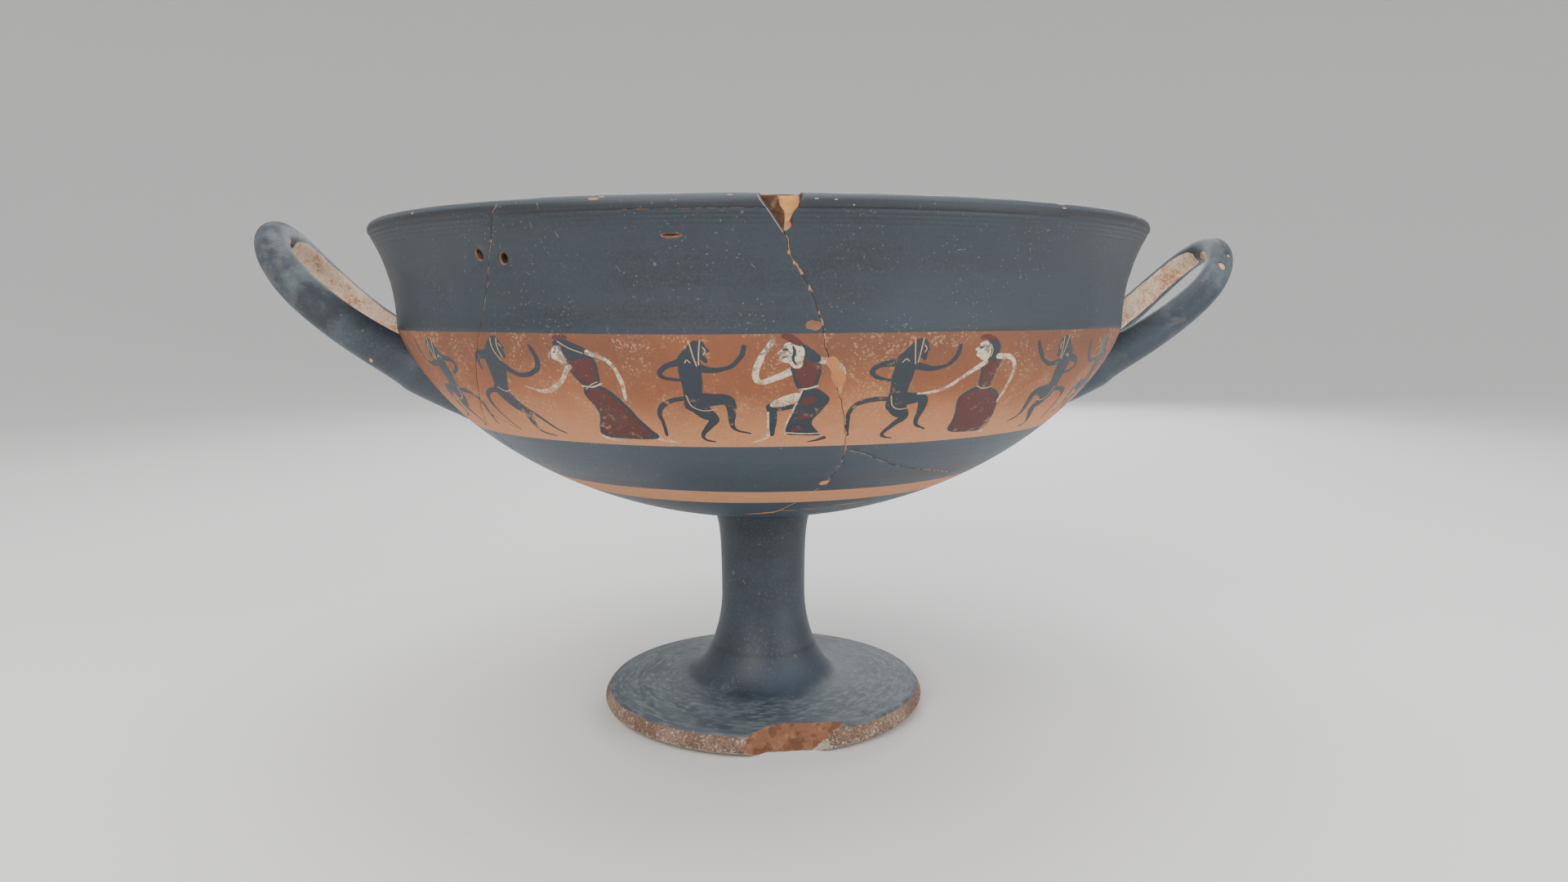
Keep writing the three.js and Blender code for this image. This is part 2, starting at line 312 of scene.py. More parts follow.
# %% Flat zone
zone_start_radius = 30
inner_end_height = 137
zone_line = joined(bowl[bowl[:, 0] >= zone_start_radius - 0.2], flare, lip_top,
                   inside[(inside[:, 1] > inner_end_height) & (inside[:, 0] > 90)])
zone_length = lengths(zone_line)[-1]
zone_run = lengths(zone_line)
crown_run = float(zone_run[np.argmax(zone_line[:, 1])])
flat_radius = 95
half_turn = math.pi * flat_radius


def up_to(height):
    """How far up the zone's outer side a height is met."""
    outer = zone_run <= crown_run
    return np.interp(height, zone_line[outer, 1], zone_run[outer])


def radius_up(distance):
    return np.interp(distance, zone_run, zone_line[:, 0])


def flat(azimuth, height):
    """A place on the outside, from azimuth in degrees and height, as a place on the flat zone."""
    return np.array([math.radians(azimuth) * flat_radius, up_to(height)])


under_bowl = joined([stem_end], bowl[(bowl[:, 0] > stem_top) & (bowl[:, 0] < zone_line[0, 0])],
                    zone_line[:1])
under_rows = spaced(under_bowl, 1.8)
cup.add_rows(turned(under_rows), [SLIP] * (len(under_rows) - 1))

inner_line = joined(zone_line[-1:], inside[(inside[:, 1] <= inner_end_height) | (inside[:, 0] <= 90)])
tondo = [(14, SLIP), (12.6, CLAY), (11.8, SLIP), (2.2, CLAY), (-1, SLIP)]
cup_floor = lambda r: np.interp(r, inside[::-1, 0], inside[::-1, 1])
rings = [r for r, _ in tondo[:-1]]
floor_rows = np.array([(r, cup_floor(r)) for r in rings] + [tuple(inside[-1])])
inner_rows = joined(spaced(inner_line[inner_line[:, 0] > rings[0]], 2.6), floor_rows)
inner_paint = [next(paint for limit, paint in tondo if r > limit - 1e-6 or limit < 0)
               for r in (inner_rows[:-1, 0] + inner_rows[1:, 0]) / 2]
cup.add_rows(turned(inner_rows), inner_paint)
print("zone length", round(zone_length, 1), "mm, crown at", round(crown_run, 1))

# %% [markdown]
# ## Strokes of a brush
#
# Everything that the painter did can be made of a few strokes. A soft stroke with round ends and a
# changing width is a limb, a closed outline is a gown, and a ribbon is a crack. A hand isn't steady,
# so each outline gets a slow, slight wander from Blender's own noise, which gives the same wander
# on each run.

# %% Stroke helpers
drawn = []


def wandering(points, amount):
    """Points moved by a slow noise of their own place."""
    points = np.asarray(points, float)
    shift = [noise.noise_vector((x * 0.45, y * 0.45, 0.37))[:2] for x, y in points]
    return points + amount * np.array(shift)


def draw(paint, points):
    """A painted polygon on the flat zone, its points turned to run anticlockwise."""
    points = np.asarray(points, float)
    x, y = points.T
    area = np.sum(x * np.roll(y, -1) - y * np.roll(x, -1))
    drawn.append((paint, points if area > 0 else points[::-1]))


def circle(centre, across, up, turn=0, count=14):
    """Points of an ellipse."""
    angle = np.linspace(0, 2 * math.pi, count, endpoint=False)
    x, y = across * np.cos(angle), up * np.sin(angle)
    c, s = math.cos(turn), math.sin(turn)
    return np.stack([centre[0] + c * x - s * y, centre[1] + s * x + c * y], -1)


def soft(points, closed=False):
    """Points with their corners cut, twice."""
    points = np.asarray(points, float)
    for _ in range(2):
        before, after = (points, np.roll(points, -1, 0)) if closed else (points[:-1], points[1:])
        cut = np.stack([before * 0.75 + after * 0.25, before * 0.25 + after * 0.75], 1)
        cut = cut.reshape(-1, points.shape[1])
        points = cut if closed else np.concatenate([points[:1], cut, points[-1:]])
    return points


def stroke(joints):
    """Points round a soft stroke through joints, each (x, y, half width), with round ends."""
    line = soft(joints)
    along = np.gradient(line[:, :2], axis=0)
    way = np.arctan2(along[:, 1], along[:, 0])
    aside = np.stack([-np.sin(way), np.cos(way)], -1) * line[:, 2:]

    def end(number, start):
        angle = way[number] + start + np.linspace(0, math.pi, 4 if line[number, 2] < 0.3 else 7)[1:-1]
        return line[number, :2] + line[number, 2] * np.stack([np.cos(angle), np.sin(angle)], -1)

    return np.concatenate([end(0, math.pi / 2), line[:, :2] - aside, end(-1, -math.pi / 2),
                           (line[:, :2] + aside)[::-1]])


def ribbon(line, half):
    """Points round a line of even or changing half width."""
    line = np.asarray(line, float)
    along = np.gradient(line, axis=0)
    along /= np.hypot(*along.T)[:, None]
    aside = np.stack([-along[:, 1], along[:, 0]], -1) * np.reshape(half, (-1, 1))
    return np.concatenate([line + aside, (line - aside)[::-1]])


def smooth_line(points, gap=1.0):
    """A line through points, bent softly at each."""
    return spaced(soft(points), gap)


print("a stroke has", len(stroke([(0, 0, 1), (5, 0, 0.5), (9, 2, 0.5)])), "points")

# %% [markdown]
# ## Bands
#
# The wheel turned while the painter held the brush still, so the bands are nearly true circles.
# The dancers' band and a narrow stripe below it are bare clay between fields of slip.

# %% Bands
around_turn = np.linspace(-180, 180, 361)


def band_edge(height, waver, seed):
    """A circle round the cup that wavers a little, and meets itself at the back."""
    rise = [waver * noise.noise((2.5 * math.cos(math.radians(a)) + seed, 2.5 * math.sin(math.radians(a)), seed))
            for a in around_turn]
    return np.stack([np.radians(around_turn) * flat_radius, up_to(height) + np.array(rise)], -1)


frieze_top, frieze_foot = 115.8, 89.9
stripe_top, stripe_foot = 76.3, 72.1
for high, low, seed in ((frieze_top, frieze_foot, 1), (stripe_top, stripe_foot, 5)):
    upper, lower = band_edge(high, 0.35, seed), band_edge(low, 0.35, seed + 2)
    draw(CLAY, np.concatenate([lower, upper[::-1]]))
print("frieze is", round(float(up_to(frieze_top) - up_to(frieze_foot)), 1), "mm high along the wall")

# %% [markdown]
# ## Dancers
#
# The figures are of no story: generic dancers, laid out from textbook proportions, in the manner of
# black figures. A dancer is a list of strokes and outlines in millimetres: joints with three numbers
# (across, up, half width) make a stroke, and points with two make an outline. Dark dancers stride
# with a loose sash. Dressed ones wear a red gown with a dark border, and their arms and faces are
# white. Lines scratched through the slip give collar, belt, hair and eye.

# %% Dark dancers
strider = [
    (FIGURE, [(-3.4, 15.6, 0.7), (-6.4, 15.2, 0.75), (-9.4, 14.0, 0.7), (-10.4, 11.6, 0.55), (-9.6, 7.6, 0.5),
              (-9.1, 3.8, 0.4)]),
    (FIGURE, [(-0.9, 13.8, 2.3), (-1.1, 18.2, 2.0), (-1.0, 22.4, 2.5), (-0.8, 25.2, 2.3)]),
    (FIGURE, [(-1.6, 25.4, 2.0), (0.0, 27.4, 2.0), (1.2, 28.8, 1.8)]),
    (FIGURE, [(2.6, 28.4, 0.8), (3.5, 28.0, 0.3)]),
    (FIGURE, [(2.1, 27.2, 1.1), (2.9, 25.7, 0.4)]),
    (FIGURE, [(1.0, 24.2, 1.1), (4.6, 23.2, 0.65), (8.0, 24.0, 0.45), (10.4, 26.4, 0.6), (11.2, 29.2, 0.45)]),
    (FIGURE, [(-2.8, 25.4, 1.1), (-6.6, 24.8, 0.65), (-8.6, 22.8, 0.6), (-6.8, 21.2, 0.45), (-3.6, 20.7, 0.4)]),
    (FIGURE, [(-0.6, 15.0, 2.4), (3.2, 15.4, 1.7), (6.6, 15.2, 1.3), (6.8, 11.6, 0.95), (6.3, 8.0, 0.6),
              (7.4, 6.0, 0.45), (9.9, 5.0, 0.25)]),
    (FIGURE, [(-0.9, 14.2, 2.3), (0.8, 11.6, 2.1), (3.0, 9.6, 1.2), (0.8, 6.6, 0.85), (-0.7, 3.6, 0.5),
              (0.2, 2.1, 0.4), (2.4, 1.7, 0.22)]),
    (LINE, [(-0.5, 30.4, 0.13), (0.1, 27.6, 0.13), (1.0, 24.6, 0.13)]),
    (LINE, [(1.9, 30.4, 0.13), (1.5, 27.6, 0.13), (1.5, 24.9, 0.13)]),
    (LINE, [(-2.0, 25.2, 0.12), (-1.4, 26.2, 0.12), (-0.6, 25.4, 0.12)]),
    (LINE, [(2.3, 28.9, 0.12), (3.0, 28.2, 0.12), (2.5, 27.3, 0.12)]),
    (LINE, [(-2.6, 16.4, 0.14), (-1.6, 13.2, 0.14), (0.8, 12.0, 0.14), (3.4, 12.6, 0.14)]),
]
walker = [
    (FIGURE, [(-5.0, 16.8, 0.6), (-8.6, 16.8, 0.7), (-11.6, 15.2, 0.6), (-12.8, 11.6, 0.5), (-11.6, 6.8, 0.35),
              (-9.6, 2.8, 0.25)]),
    (FIGURE, [(-3.8, 16.4, 2.2), (-3.0, 19.4, 2.0), (-1.3, 23.4, 3.0), (-1.2, 26.0, 2.6)]),
    (FIGURE, [(-0.2, 27.2, 2.2), (1.8, 29.0, 1.9)]),
    (FIGURE, [(3.2, 28.8, 0.8), (4.2, 28.4, 0.3)]),
    (FIGURE, [(2.8, 27.6, 1.1), (3.5, 26.1, 0.4)]),
    (FIGURE, [(-3.2, 26.8, 1.3), (-6.2, 26.9, 0.9), (-7.8, 25.2, 0.8), (-7.4, 23.2, 0.5)]),
    (FIGURE, [(1.4, 23.6, 1.0), (4.4, 21.3, 0.6), (8.4, 21.2, 0.55), (11.6, 23.4, 0.6), (12.2, 26.0, 0.75),
              (11.0, 29.2, 0.4)]),
    (FIGURE, [(-4.2, 16.6, 2.3), (-2.8, 12.8, 2.4), (-0.4, 9.4, 1.4), (-1.4, 6.4, 1.0), (-1.8, 4.2, 0.6),
              (-0.6, 2.5, 0.4), (2.6, 1.6, 0.22)]),
    (FIGURE, [(-2.2, 12.4, 1.0), (2.6, 8.6, 0.6), (4.6, 4.4, 0.4), (6.6, 3.0, 0.22)]),
    (LINE, [(0.4, 30.4, 0.13), (0.2, 27.8, 0.13), (1.6, 25.0, 0.13)]),
    (LINE, [(2.6, 30.4, 0.13), (2.2, 28.4, 0.13), (2.6, 26.2, 0.13)]),
    (LINE, [(3.1, 29.2, 0.12), (3.7, 28.5, 0.12)]),
    (LINE, [(-4.8, 17.6, 0.14), (-2.8, 16.2, 0.14), (-0.8, 17.0, 0.14)]),
]
print(len(strider) + len(walker), "strokes for the dark dancers")

# %% Dressed dancers
gowned = [
    (WHITE, [(10.0, 2.4, 0.6), (11.8, 1.3, 0.3)]),
    (FIGURE, [(-0.7, 18.4), (-4.3, 15.4), (-3.8, 12.2), (-1.9, 8.4), (-1.5, 2.6), (4.8, 1.9), (11.4, 2.5),
              (9.8, 8.0), (8.4, 12.6), (7.2, 15.8), (3.0, 18.2)]),
    (RED, [(-0.1, 17.4), (-3.5, 14.9), (-3.0, 12.2), (-1.1, 8.4), (-0.7, 3.4), (4.8, 2.7), (10.3, 3.2),
           (9.0, 8.0), (7.6, 12.4), (6.5, 15.0), (2.4, 17.2)]),
    (FIGURE, [(-3.6, 25.0), (-1.4, 26.8), (2.6, 26.8), (3.2, 24.4), (3.0, 20.4), (3.1, 17.6), (-0.8, 17.8),
              (-1.8, 21.2)]),
    (RED, [(-2.9, 24.8), (-1.2, 26.0), (2.1, 26.0), (2.5, 24.2), (2.3, 20.4), (2.4, 18.3), (-0.2, 18.4),
           (-1.1, 21.4)]),
    (FIGURE, [(-1.6, 30.2, 1.2), (-0.4, 28.4, 1.6), (-0.2, 26.0, 1.3)]),
    (WHITE, [(-2.0, 29.9), (-3.6, 30.4), (-5.0, 29.7), (-5.0, 28.7), (-6.5, 27.8), (-5.0, 27.4), (-5.6, 26.4),
             (-4.3, 25.6), (-3.5, 24.9), (-1.8, 24.8), (-1.4, 26.6), (-1.6, 28.6)]),
    (RED, [(-4.4, 31.0, 0.5), (-2.8, 31.4, 0.6), (-1.2, 31.0, 0.5)]),
    (WHITE, [(-2.2, 24.2, 0.75), (-5.4, 21.4, 0.5), (-8.4, 18.4, 0.5), (-12.4, 17.0, 0.42), (-16.4, 16.6, 0.3)]),
    (WHITE, [(1.6, 25.8, 0.7), (5.8, 25.9, 0.5), (8.6, 23.6, 0.5), (8.8, 18.0, 0.45), (8.0, 12.6, 0.3)]),
    (LINE, [(-0.9, 18.0, 0.15), (1.2, 17.3, 0.15), (3.2, 17.9, 0.15)]),
    (LINE, [(-1.8, 29.4, 0.12), (-0.8, 27.6, 0.12), (-1.2, 25.8, 0.12)]),
    (FIGURE, [(-4.6, 28.5, 0.2), (-3.8, 28.6, 0.2)]),
]
leaning = [
    (WHITE, [(-4.4, 2.4, 0.6), (-2.2, 1.1, 0.3), (0.4, 0.9, 0.2)]),
    (WHITE, [(9.0, 2.6, 0.6), (10.8, 1.6, 0.4), (13.6, 1.3, 0.2)]),
    (FIGURE, [(-3.5, 18.8), (-4.2, 16.6), (-2.6, 13.2), (-2.4, 10.2), (-4.2, 6.6), (-5.3, 2.4), (2.0, 1.7),
              (10.4, 2.3), (8.2, 7.4), (5.0, 14.0), (1.8, 19.4)]),
    (RED, [(-2.8, 17.8), (-3.4, 16.4), (-1.8, 13.2), (-1.5, 10.0), (-3.3, 6.4), (-4.3, 3.3), (2.0, 2.7),
           (8.9, 3.2), (7.2, 7.4), (4.1, 13.6), (1.2, 18.4)]),
    (FIGURE, [(-5.8, 24.6), (-3.6, 26.2), (0.8, 27.4), (2.0, 25.8), (2.0, 22.6), (1.3, 19.2), (-3.5, 18.6),
              (-4.6, 21.2)]),
    (RED, [(-4.9, 24.3), (-3.2, 25.4), (0.3, 26.4), (1.2, 25.2), (1.2, 22.6), (0.6, 19.9), (-2.9, 19.3),
           (-3.8, 21.4)]),
    (FIGURE, [(-8.6, 30.2), (-6.4, 31.2), (-3.2, 30.0), (0.8, 28.2), (1.0, 26.4), (-1.6, 25.8), (-4.6, 25.2),
              (-5.4, 27.2), (-7.4, 28.6)]),
    (WHITE, [(-6.6, 29.5), (-8.3, 29.3), (-8.7, 28.3), (-10.1, 27.1), (-8.7, 26.8), (-9.1, 25.8), (-7.7, 25.1),
             (-6.4, 24.4), (-4.9, 24.2), (-4.9, 25.8), (-5.5, 27.4), (-6.0, 28.7)]),
    (RED, [(-7.4, 31.2, 0.4), (-5.6, 31.5, 0.5), (-4.0, 30.9, 0.4)]),
    (WHITE, [(-4.8, 23.6, 0.7), (-8.6, 20.2, 0.5), (-13.0, 17.4, 0.75), (-16.4, 17.3, 0.4), (-19.6, 18.3, 0.3)]),
    (WHITE, [(0.4, 27.4, 0.7), (3.6, 26.8, 0.5), (5.8, 24.6, 0.45), (6.2, 19.4, 0.6), (5.4, 14.8, 0.3)]),
    (WHITE, [(-3.7, 19.0, 0.2), (-1.2, 18.5, 0.2), (1.5, 19.5, 0.2)]),
    (LINE, [(-3.0, 18.2, 0.13), (-1.0, 19.4, 0.13), (0.6, 20.0, 0.13)]),
    (LINE, [(-6.6, 30.4, 0.12), (-3.6, 28.2, 0.12), (-0.6, 27.2, 0.12)]),
    (FIGURE, [(-8.2, 27.6, 0.18), (-7.7, 27.6, 0.18)]),
]
leaper = [
    (WHITE, [(-1.2, 23.6, 0.9), (-4.8, 21.2, 0.65), (-7.8, 20.2, 0.6), (-8.4, 23.6, 0.75), (-7.6, 27.6, 0.6),
             (-5.8, 30.6, 0.45)]),
    (FIGURE, [(-5.0, 13.2, 1.3), (-2.8, 13.4, 1.2), (-0.4, 13.6, 0.7)]),
    (FIGURE, [(-4.9, 12.2, 1.1), (-4.4, 8.0, 0.9), (-4.3, 4.0, 0.6)]),
    (WHITE, [(-5.9, 11.4, 0.25), (-5.4, 6.4, 0.28), (-4.9, 3.2, 0.5), (-6.6, 1.7, 0.35), (-8.4, 1.2, 0.22)]),
    (WHITE, [(1.0, 17.6), (-2.2, 17.0), (-5.6, 14.6), (-5.2, 13.0), (-2.0, 13.6), (0.4, 14.8)]),
    (FIGURE, [(7.4, 3.1, 0.6), (5.6, 1.8, 0.35), (3.9, 1.2, 0.22)]),
    (FIGURE, [(0.7, 18.4), (0.0, 13.0), (-1.6, 7.6), (-1.7, 3.8), (2.4, 3.4), (7.2, 3.9), (5.0, 6.6),
              (3.6, 8.8), (5.4, 12.2), (7.2, 15.6), (5.8, 17.6), (4.2, 18.6)]),
    (RED, [(2.1, 15.0, 1.0), (3.2, 15.3, 1.1)]),
    (RED, [(1.4, 10.4, 0.9), (2.2, 10.6, 0.9)]),
    (RED, [(0.3, 5.9, 0.6), (2.0, 6.2, 0.6)]),
    (WHITE, [(0.9, 17.8, 0.2), (-0.4, 12.2, 0.2), (-1.8, 6.4, 0.2), (-1.5, 3.8, 0.2)]),
    (WHITE, [(-1.3, 4.6, 0.18), (2.6, 4.1, 0.18), (6.2, 4.8, 0.18)]),
    (FIGURE, [(-1.6, 24.8), (1.0, 26.4), (4.8, 26.8), (5.6, 24.0), (4.8, 20.6), (4.3, 18.4), (0.0, 18.0),
              (-0.8, 21.2)]),
    (RED, [(-0.8, 24.4), (1.2, 25.7), (4.2, 26.1), (4.8, 23.8), (4.1, 20.8), (3.6, 19.2), (0.6, 18.9),
           (0.0, 21.4)]),
    (WHITE, [(5.0, 26.3, 0.8), (8.2, 25.6, 0.7), (10.4, 23.8, 0.8), (9.9, 20.6, 0.6), (9.2, 17.4, 0.35)]),
    (FIGURE, [(0.2, 29.2, 1.2), (1.8, 27.6, 1.6), (4.0, 26.6, 1.0)]),
    (WHITE, [(0.4, 29.8), (-1.2, 30.3), (-2.9, 29.7), (-3.1, 28.7), (-4.6, 27.7), (-3.1, 27.3), (-3.9, 26.3),
             (-2.8, 25.3), (-1.4, 25.5), (-0.9, 24.2), (1.2, 24.3), (1.5, 26.6), (1.7, 28.6)]),
    (RED, [(-3.0, 31.4, 0.5), (-1.2, 31.2, 0.9), (0.7, 29.8, 0.6)]),
    (WHITE, [(0.5, 18.4, 0.22), (2.6, 18.5, 0.22), (4.6, 19.4, 0.22)]),
    (FIGURE, [(-2.9, 28.4, 0.24), (-2.0, 28.5, 0.24)]),
    (FIGURE, [(-0.7, 29.2, 0.2), (-0.3, 27.8, 0.36), (-0.9, 26.4, 0.3), (-0.2, 25.2, 0.2)]),
    (FIGURE, [(-3.0, 26.6, 0.14), (-2.2, 26.7, 0.14)]),
]
frieze_start = float(up_to(frieze_foot))


def dance(figure, azimuth, facing=1, lean=0.0, seed=0):
    """Paint one dancer, with its own small differences, standing on the band's lower edge."""
    for paint, joints in figure:
        placed = []
        for x, y, *half in joints:
            sway = noise.noise_vector((x * 0.12 + seed, y * 0.12, seed * 1.7))
            x, y = x + 1.2 * sway[0], y + 0.7 * sway[1]
            x = facing * x + lean * (y - 12)
            up = frieze_start + 0.5 + y
            across = flat_radius * (math.radians(azimuth) + x / float(radius_up(up)))
            placed.append((across, up, *half))
        is_stroke = len(placed[0]) == 3
        outline = stroke(placed) if is_stroke else soft(placed, closed=True)
        draw(paint, wandering(outline, 0.06 if is_stroke and placed[0][2] < 0.3 else 0.22))


front = [(-76, strider, 1, 0), (-59, strider, -1, 0.25), (-42.3, walker, 1, 0), (-27.7, leaning, 1, 0),
         (-14.2, strider, 1, 0), (-1.8, leaper, 1, 0), (12.4, strider, 1, 0), (24.3, gowned, 1, 0),
         (41.5, strider, -1, -0.33), (56, strider, -1, -0.45), (73, strider, 1, 0)]
back = [(106, gowned, 1, 0), (122, strider, 1, 0.1), (138, walker, -1, 0), (154, leaning, -1, 0),
        (170.5, strider, 1, 0), (-171, leaper, 1, 0), (-155, strider, 1, -0.1), (-138.5, gowned, 1, 0),
        (-122, walker, 1, 0), (-106, leaper, -1, 0)]
for seed, (azimuth_now, figure, facing, lean) in enumerate(front + back):
    dance(figure, azimuth_now, facing, lean, seed)
print(len(front + back), "dancers of", len(drawn), "strokes")

# %% [markdown]
# ## Cracks, mends and chips
#
# The cup was broken and put together again. A crack is a ribbon of bare clay with a low line in
# its middle, a chip is a ring with its inside sunk, and the big chip on the lip is a flat break
# from the outer face to the crown. Each is given by azimuth and height, as measured on the cup.

# %% Cracks
sunk = []


def wear_and_shade_spot(paint, azimuth, height, across, up, turn=0.0, depth=0.0, count=16):
    """A small spot with an uneven outline: worn, chipped, or the painted shade in a pit."""
    centre = flat(azimuth, height)
    outline = circle(centre, across, up, turn, count)
    outline = centre + (wandering(outline * 2.3, 0.38 * min(across, up)) - outline * 1.3 - centre)
    draw(paint, outline)
    if depth:
        inner = centre + (outline - centre) * 0.72
        draw(paint, inner)
        sunk.append(("spot", centre, inner, depth))


def crack(places, half, depth=0.16, seed=0.0, paint=BREAK):
    """A crack through places, each (azimuth, height): a dark sunk line with crumbled clay along it."""
    line = smooth_line([flat(*place) for place in places], 0.8)
    line = line + np.array([[0.35 * noise.noise((x * 0.5, y * 0.5, seed))
                             + 0.12 * noise.noise((x * 2.5, y * 2.5, seed)), 0.0] for x, y in line])
    draw(HAIRLINE, ribbon(line, 0.08))
    sunk.append(("line", line, 0.2, depth))
    crumble = np.array([noise.noise((x * 0.7, y * 0.7, seed + 9)) + 0.9 * noise.noise((x * 2.6, y * 2.6, seed))
                        for x, y in line])
    halves = half * np.clip(0.95 + 2.0 * crumble, 0, 2.2)
    start = None
    for number, width in enumerate(np.append(halves, 0)):
        if width > 0.03 and start is None:
            start = number
        elif width <= 0.03 and start is not None:
            if number - start > 2:
                shift = 0.09 + 0.5 * halves[start:number, None]
                draw(paint, ribbon(line[start:number] + shift * (1, 0), halves[start:number]))
            start = None


main_crack = [(-3.63, 136.2), (-3.35, 134.6), (-3.1, 132.9), (-2.85, 131.2), (-2.2, 129.6), (-1.45, 127.6),
              (-0.7, 125.2), (0.0, 122.4), (0.5, 119.7), (0.9, 117.2), (1.15, 114.6), (1.5, 111.6),
              (2.9, 105.9), (4.7, 99.4), (5.6, 95.4), (6.9, 90.0), (7.3, 86.7), (7.35, 83.1), (7.0, 80.9),
              (6.5, 79.2)]
side_crack = [(7.2, 88.7), (10.9, 87.3), (15.4, 84.6), (21.3, 82.3), (30.8, 80.3), (38.3, 78.6)]
left_crack = [(-36.0, 142.9), (-37.1, 141.1), (-37.7, 139.2), (-38.8, 136.3), (-39.7, 133.6), (-40.6, 131.0),
              (-41.0, 128.1), (-42.5, 122.6), (-43.6, 116.3), (-45.6, 111.6), (-48.6, 105.6),
              (-52.6, 99.3), (-55.0, 96.9), (-60.0, 91.5), (-63.0, 85.0)]
left_branch = [(-55.0, 96.9), (-52.3, 94.4), (-49.2, 92.1)]
crack(main_crack, 0.11, seed=1.0)
crack(side_crack, 0.1, seed=2.0, paint=LINE)
crack(left_crack, 0.07, seed=3.0)
crack(left_branch, 0.06, seed=4.0)
mend = ((1.6, 110.6), (2.4, 110.9), (3.3, 110.0), (3.5, 108.2), (4.3, 107.0), (4.2, 105.4), (3.6, 104.0),
        (3.1, 104.6), (2.5, 106.8), (1.9, 108.6))
draw(FILL, wandering(soft([flat(*p) for p in mend], closed=True), 0.5))
wear_and_shade_spot(SPALL, -0.15, 117.5, 1.6, 1.0, turn=-0.25, depth=0.25, count=22)
for spot in ((-3.05, 132.2, 0.26, 0.5), (-2.5, 130.2, 0.2, 0.4), (-0.7, 125.0, 0.14, 0.5), (0.45, 120.0, 0.16, 0.4)):
    wear_and_shade_spot(BREAK, *spot)
wear_and_shade_spot(PALE_AND_LIT, 6.3, 79.1, 1.6, 1.4, turn=0.3, depth=0.2, count=20)
wear_and_shade_spot(BREAK, -38.9, 135.4, 0.3, 0.4)
print(len(sunk), "sunk marks")

# %% Chips, pits and the drilled holes
wear_and_shade_spot(SPALL, -15.8, 135.6, 2.1, 0.5, depth=0.5)
# The pit's darker middle is painted shade.
wear_and_shade_spot(RECESS_SHADE, -15.8, 135.65, 1.6, 0.34)
for hole_azimuth, hole_height, hole_turn in ((-41.6, 132.8, 0.25), (-37.7, 131.8, -0.25)):
    hole = flat(hole_azimuth, hole_height)
    draw(SPALL, circle(hole, 1.05, 1.45, hole_turn, 20))
    # Each hole steps down in rings of dark brown, painted shade inside the hole.
    for size, sink in ((0.84, 0.35), (0.7, 1.4), (0.56, 2.9)):
        ring = circle(hole, 1.05 * size, 1.45 * size, hole_turn, 16)
        draw(RECESS_SHADE, ring)
        sunk.append(("spot", hole, ring, sink))
for spot in ((-24.0, 142.9, 1.0, 0.35), (-23.1, 143.3, 0.6, 0.3), (-52.0, 142.6, 0.5, 0.25), (31.0, 142.6, 0.6, 0.25),
             (52.0, 143.0, 0.8, 0.3), (-9.3, 143.2, 0.5, 0.2)):
    wear_and_shade_spot(BREAK, *spot)
for spot in ((-0.35, 142.4, 0.35, 0.13), (1.7, 142.3, 0.3, 0.12), (3.6, 141.3, 0.18, 0.12)):
    wear_and_shade_spot(LINE, *spot)
for spot in range(13):
    wear_and_shade_spot(SPALL, -20.5 + 1.15 * spot + noise.noise((spot * 3.3, 0, 0)), 140.55, 0.4 + 0.3 * (spot % 3), 0.07)
for places, halves in ((((5.8, 77.4), (3.3, 73.3), (0.8, 70.2), (-2.5, 67.4)), (0.1, 0.16, 0.14, 0.4)),
                       (((-2.5, 67.6), (-7.3, 66.9), (-12.7, 66.2)), (0.8, 0.7, 0.1)),
                       (((-1.3, 68.5), (2.0, 68.3), (5.3, 68.2)), (0.1, 0.36, 0.12)),
                       (((6.2, 68.8), (8.7, 68.7), (11.2, 68.5)), (0.12, 0.34, 0.1)),
                       (((15.5, 69.6), (20.0, 69.9), (24.8, 70.3)), (0.14, 0.42, 0.12))):
    draw(PALE_AND_LIT, wandering(stroke([(*flat(*place), half) for place, half in zip(places, halves)]), 0.12))
wear_and_shade_spot(FILL, 37.8, 73.0, 1.8, 0.9, turn=0.4)
for spot in ((-31.4, 74.8, 1.2, 0.16), (-28.6, 74.5, 1.4, 0.2), (42.0, 73.2, 1.3, 0.16), (48.0, 72.8, 1.6, 0.14)):
    wear_and_shade_spot(LINE, *spot)
print(len(drawn), "strokes and marks")

# %% [markdown]
# ## The chip on the lip
#
# It has a straight left side and a scalloped right one. Its floor runs straight from its lowest
# point to the back of the crown, so the thin inner edge of the lip still stands. A pale line
# follows its edge, where the slip has flaked. Its left face is painted in shade and its right
# face in painted light, as light from the left would fall on the break.

# %% Lip chip
chip_foot = 136.1
chip_back = 106.9
back_turn = math.acos((chip_back - lip_centre[0]) / lip_round)
chip_low = float(up_to(chip_foot))
chip_high = float(up_to(flare_end[1])) + lip_round * (back_turn + lip_lean)
chip_outline = [flat(*p) for p in ((-3.6, 136.1), (-2.8, 137.0), (-2.65, 138.1), (-2.9, 138.9), (-2.7, 140.0),
                                   (-2.05, 141.2), (-2.15, 141.9), (-1.8, 142.6))]
chip_outline += [np.array([math.radians(a) * flat_radius, chip_high]) for a in (-1.9, -3.0, -4.2, -5.2, -6.3)]
chip_outline += [flat(-6.15, 142.9), flat(-5.2, 140.5), flat(-4.4, 138.3)]
chip_outline = np.array(chip_outline)


def inward(outline, distance):
    """A closed outline drawn in by an even distance."""
    before, after = np.roll(outline, 1, 0), np.roll(outline, -1, 0)
    along = after - before
    along /= np.hypot(*along.T)[:, None]
    return outline + distance * np.stack([-along[:, 1], along[:, 0]], -1)


def densely(outline, gap):
    return spaced(np.concatenate([outline, outline[:1]]), gap)[:-1]


chip_edge = densely(chip_outline, 0.5)
chip_inner = densely(inward(chip_outline, 0.3), 0.5)
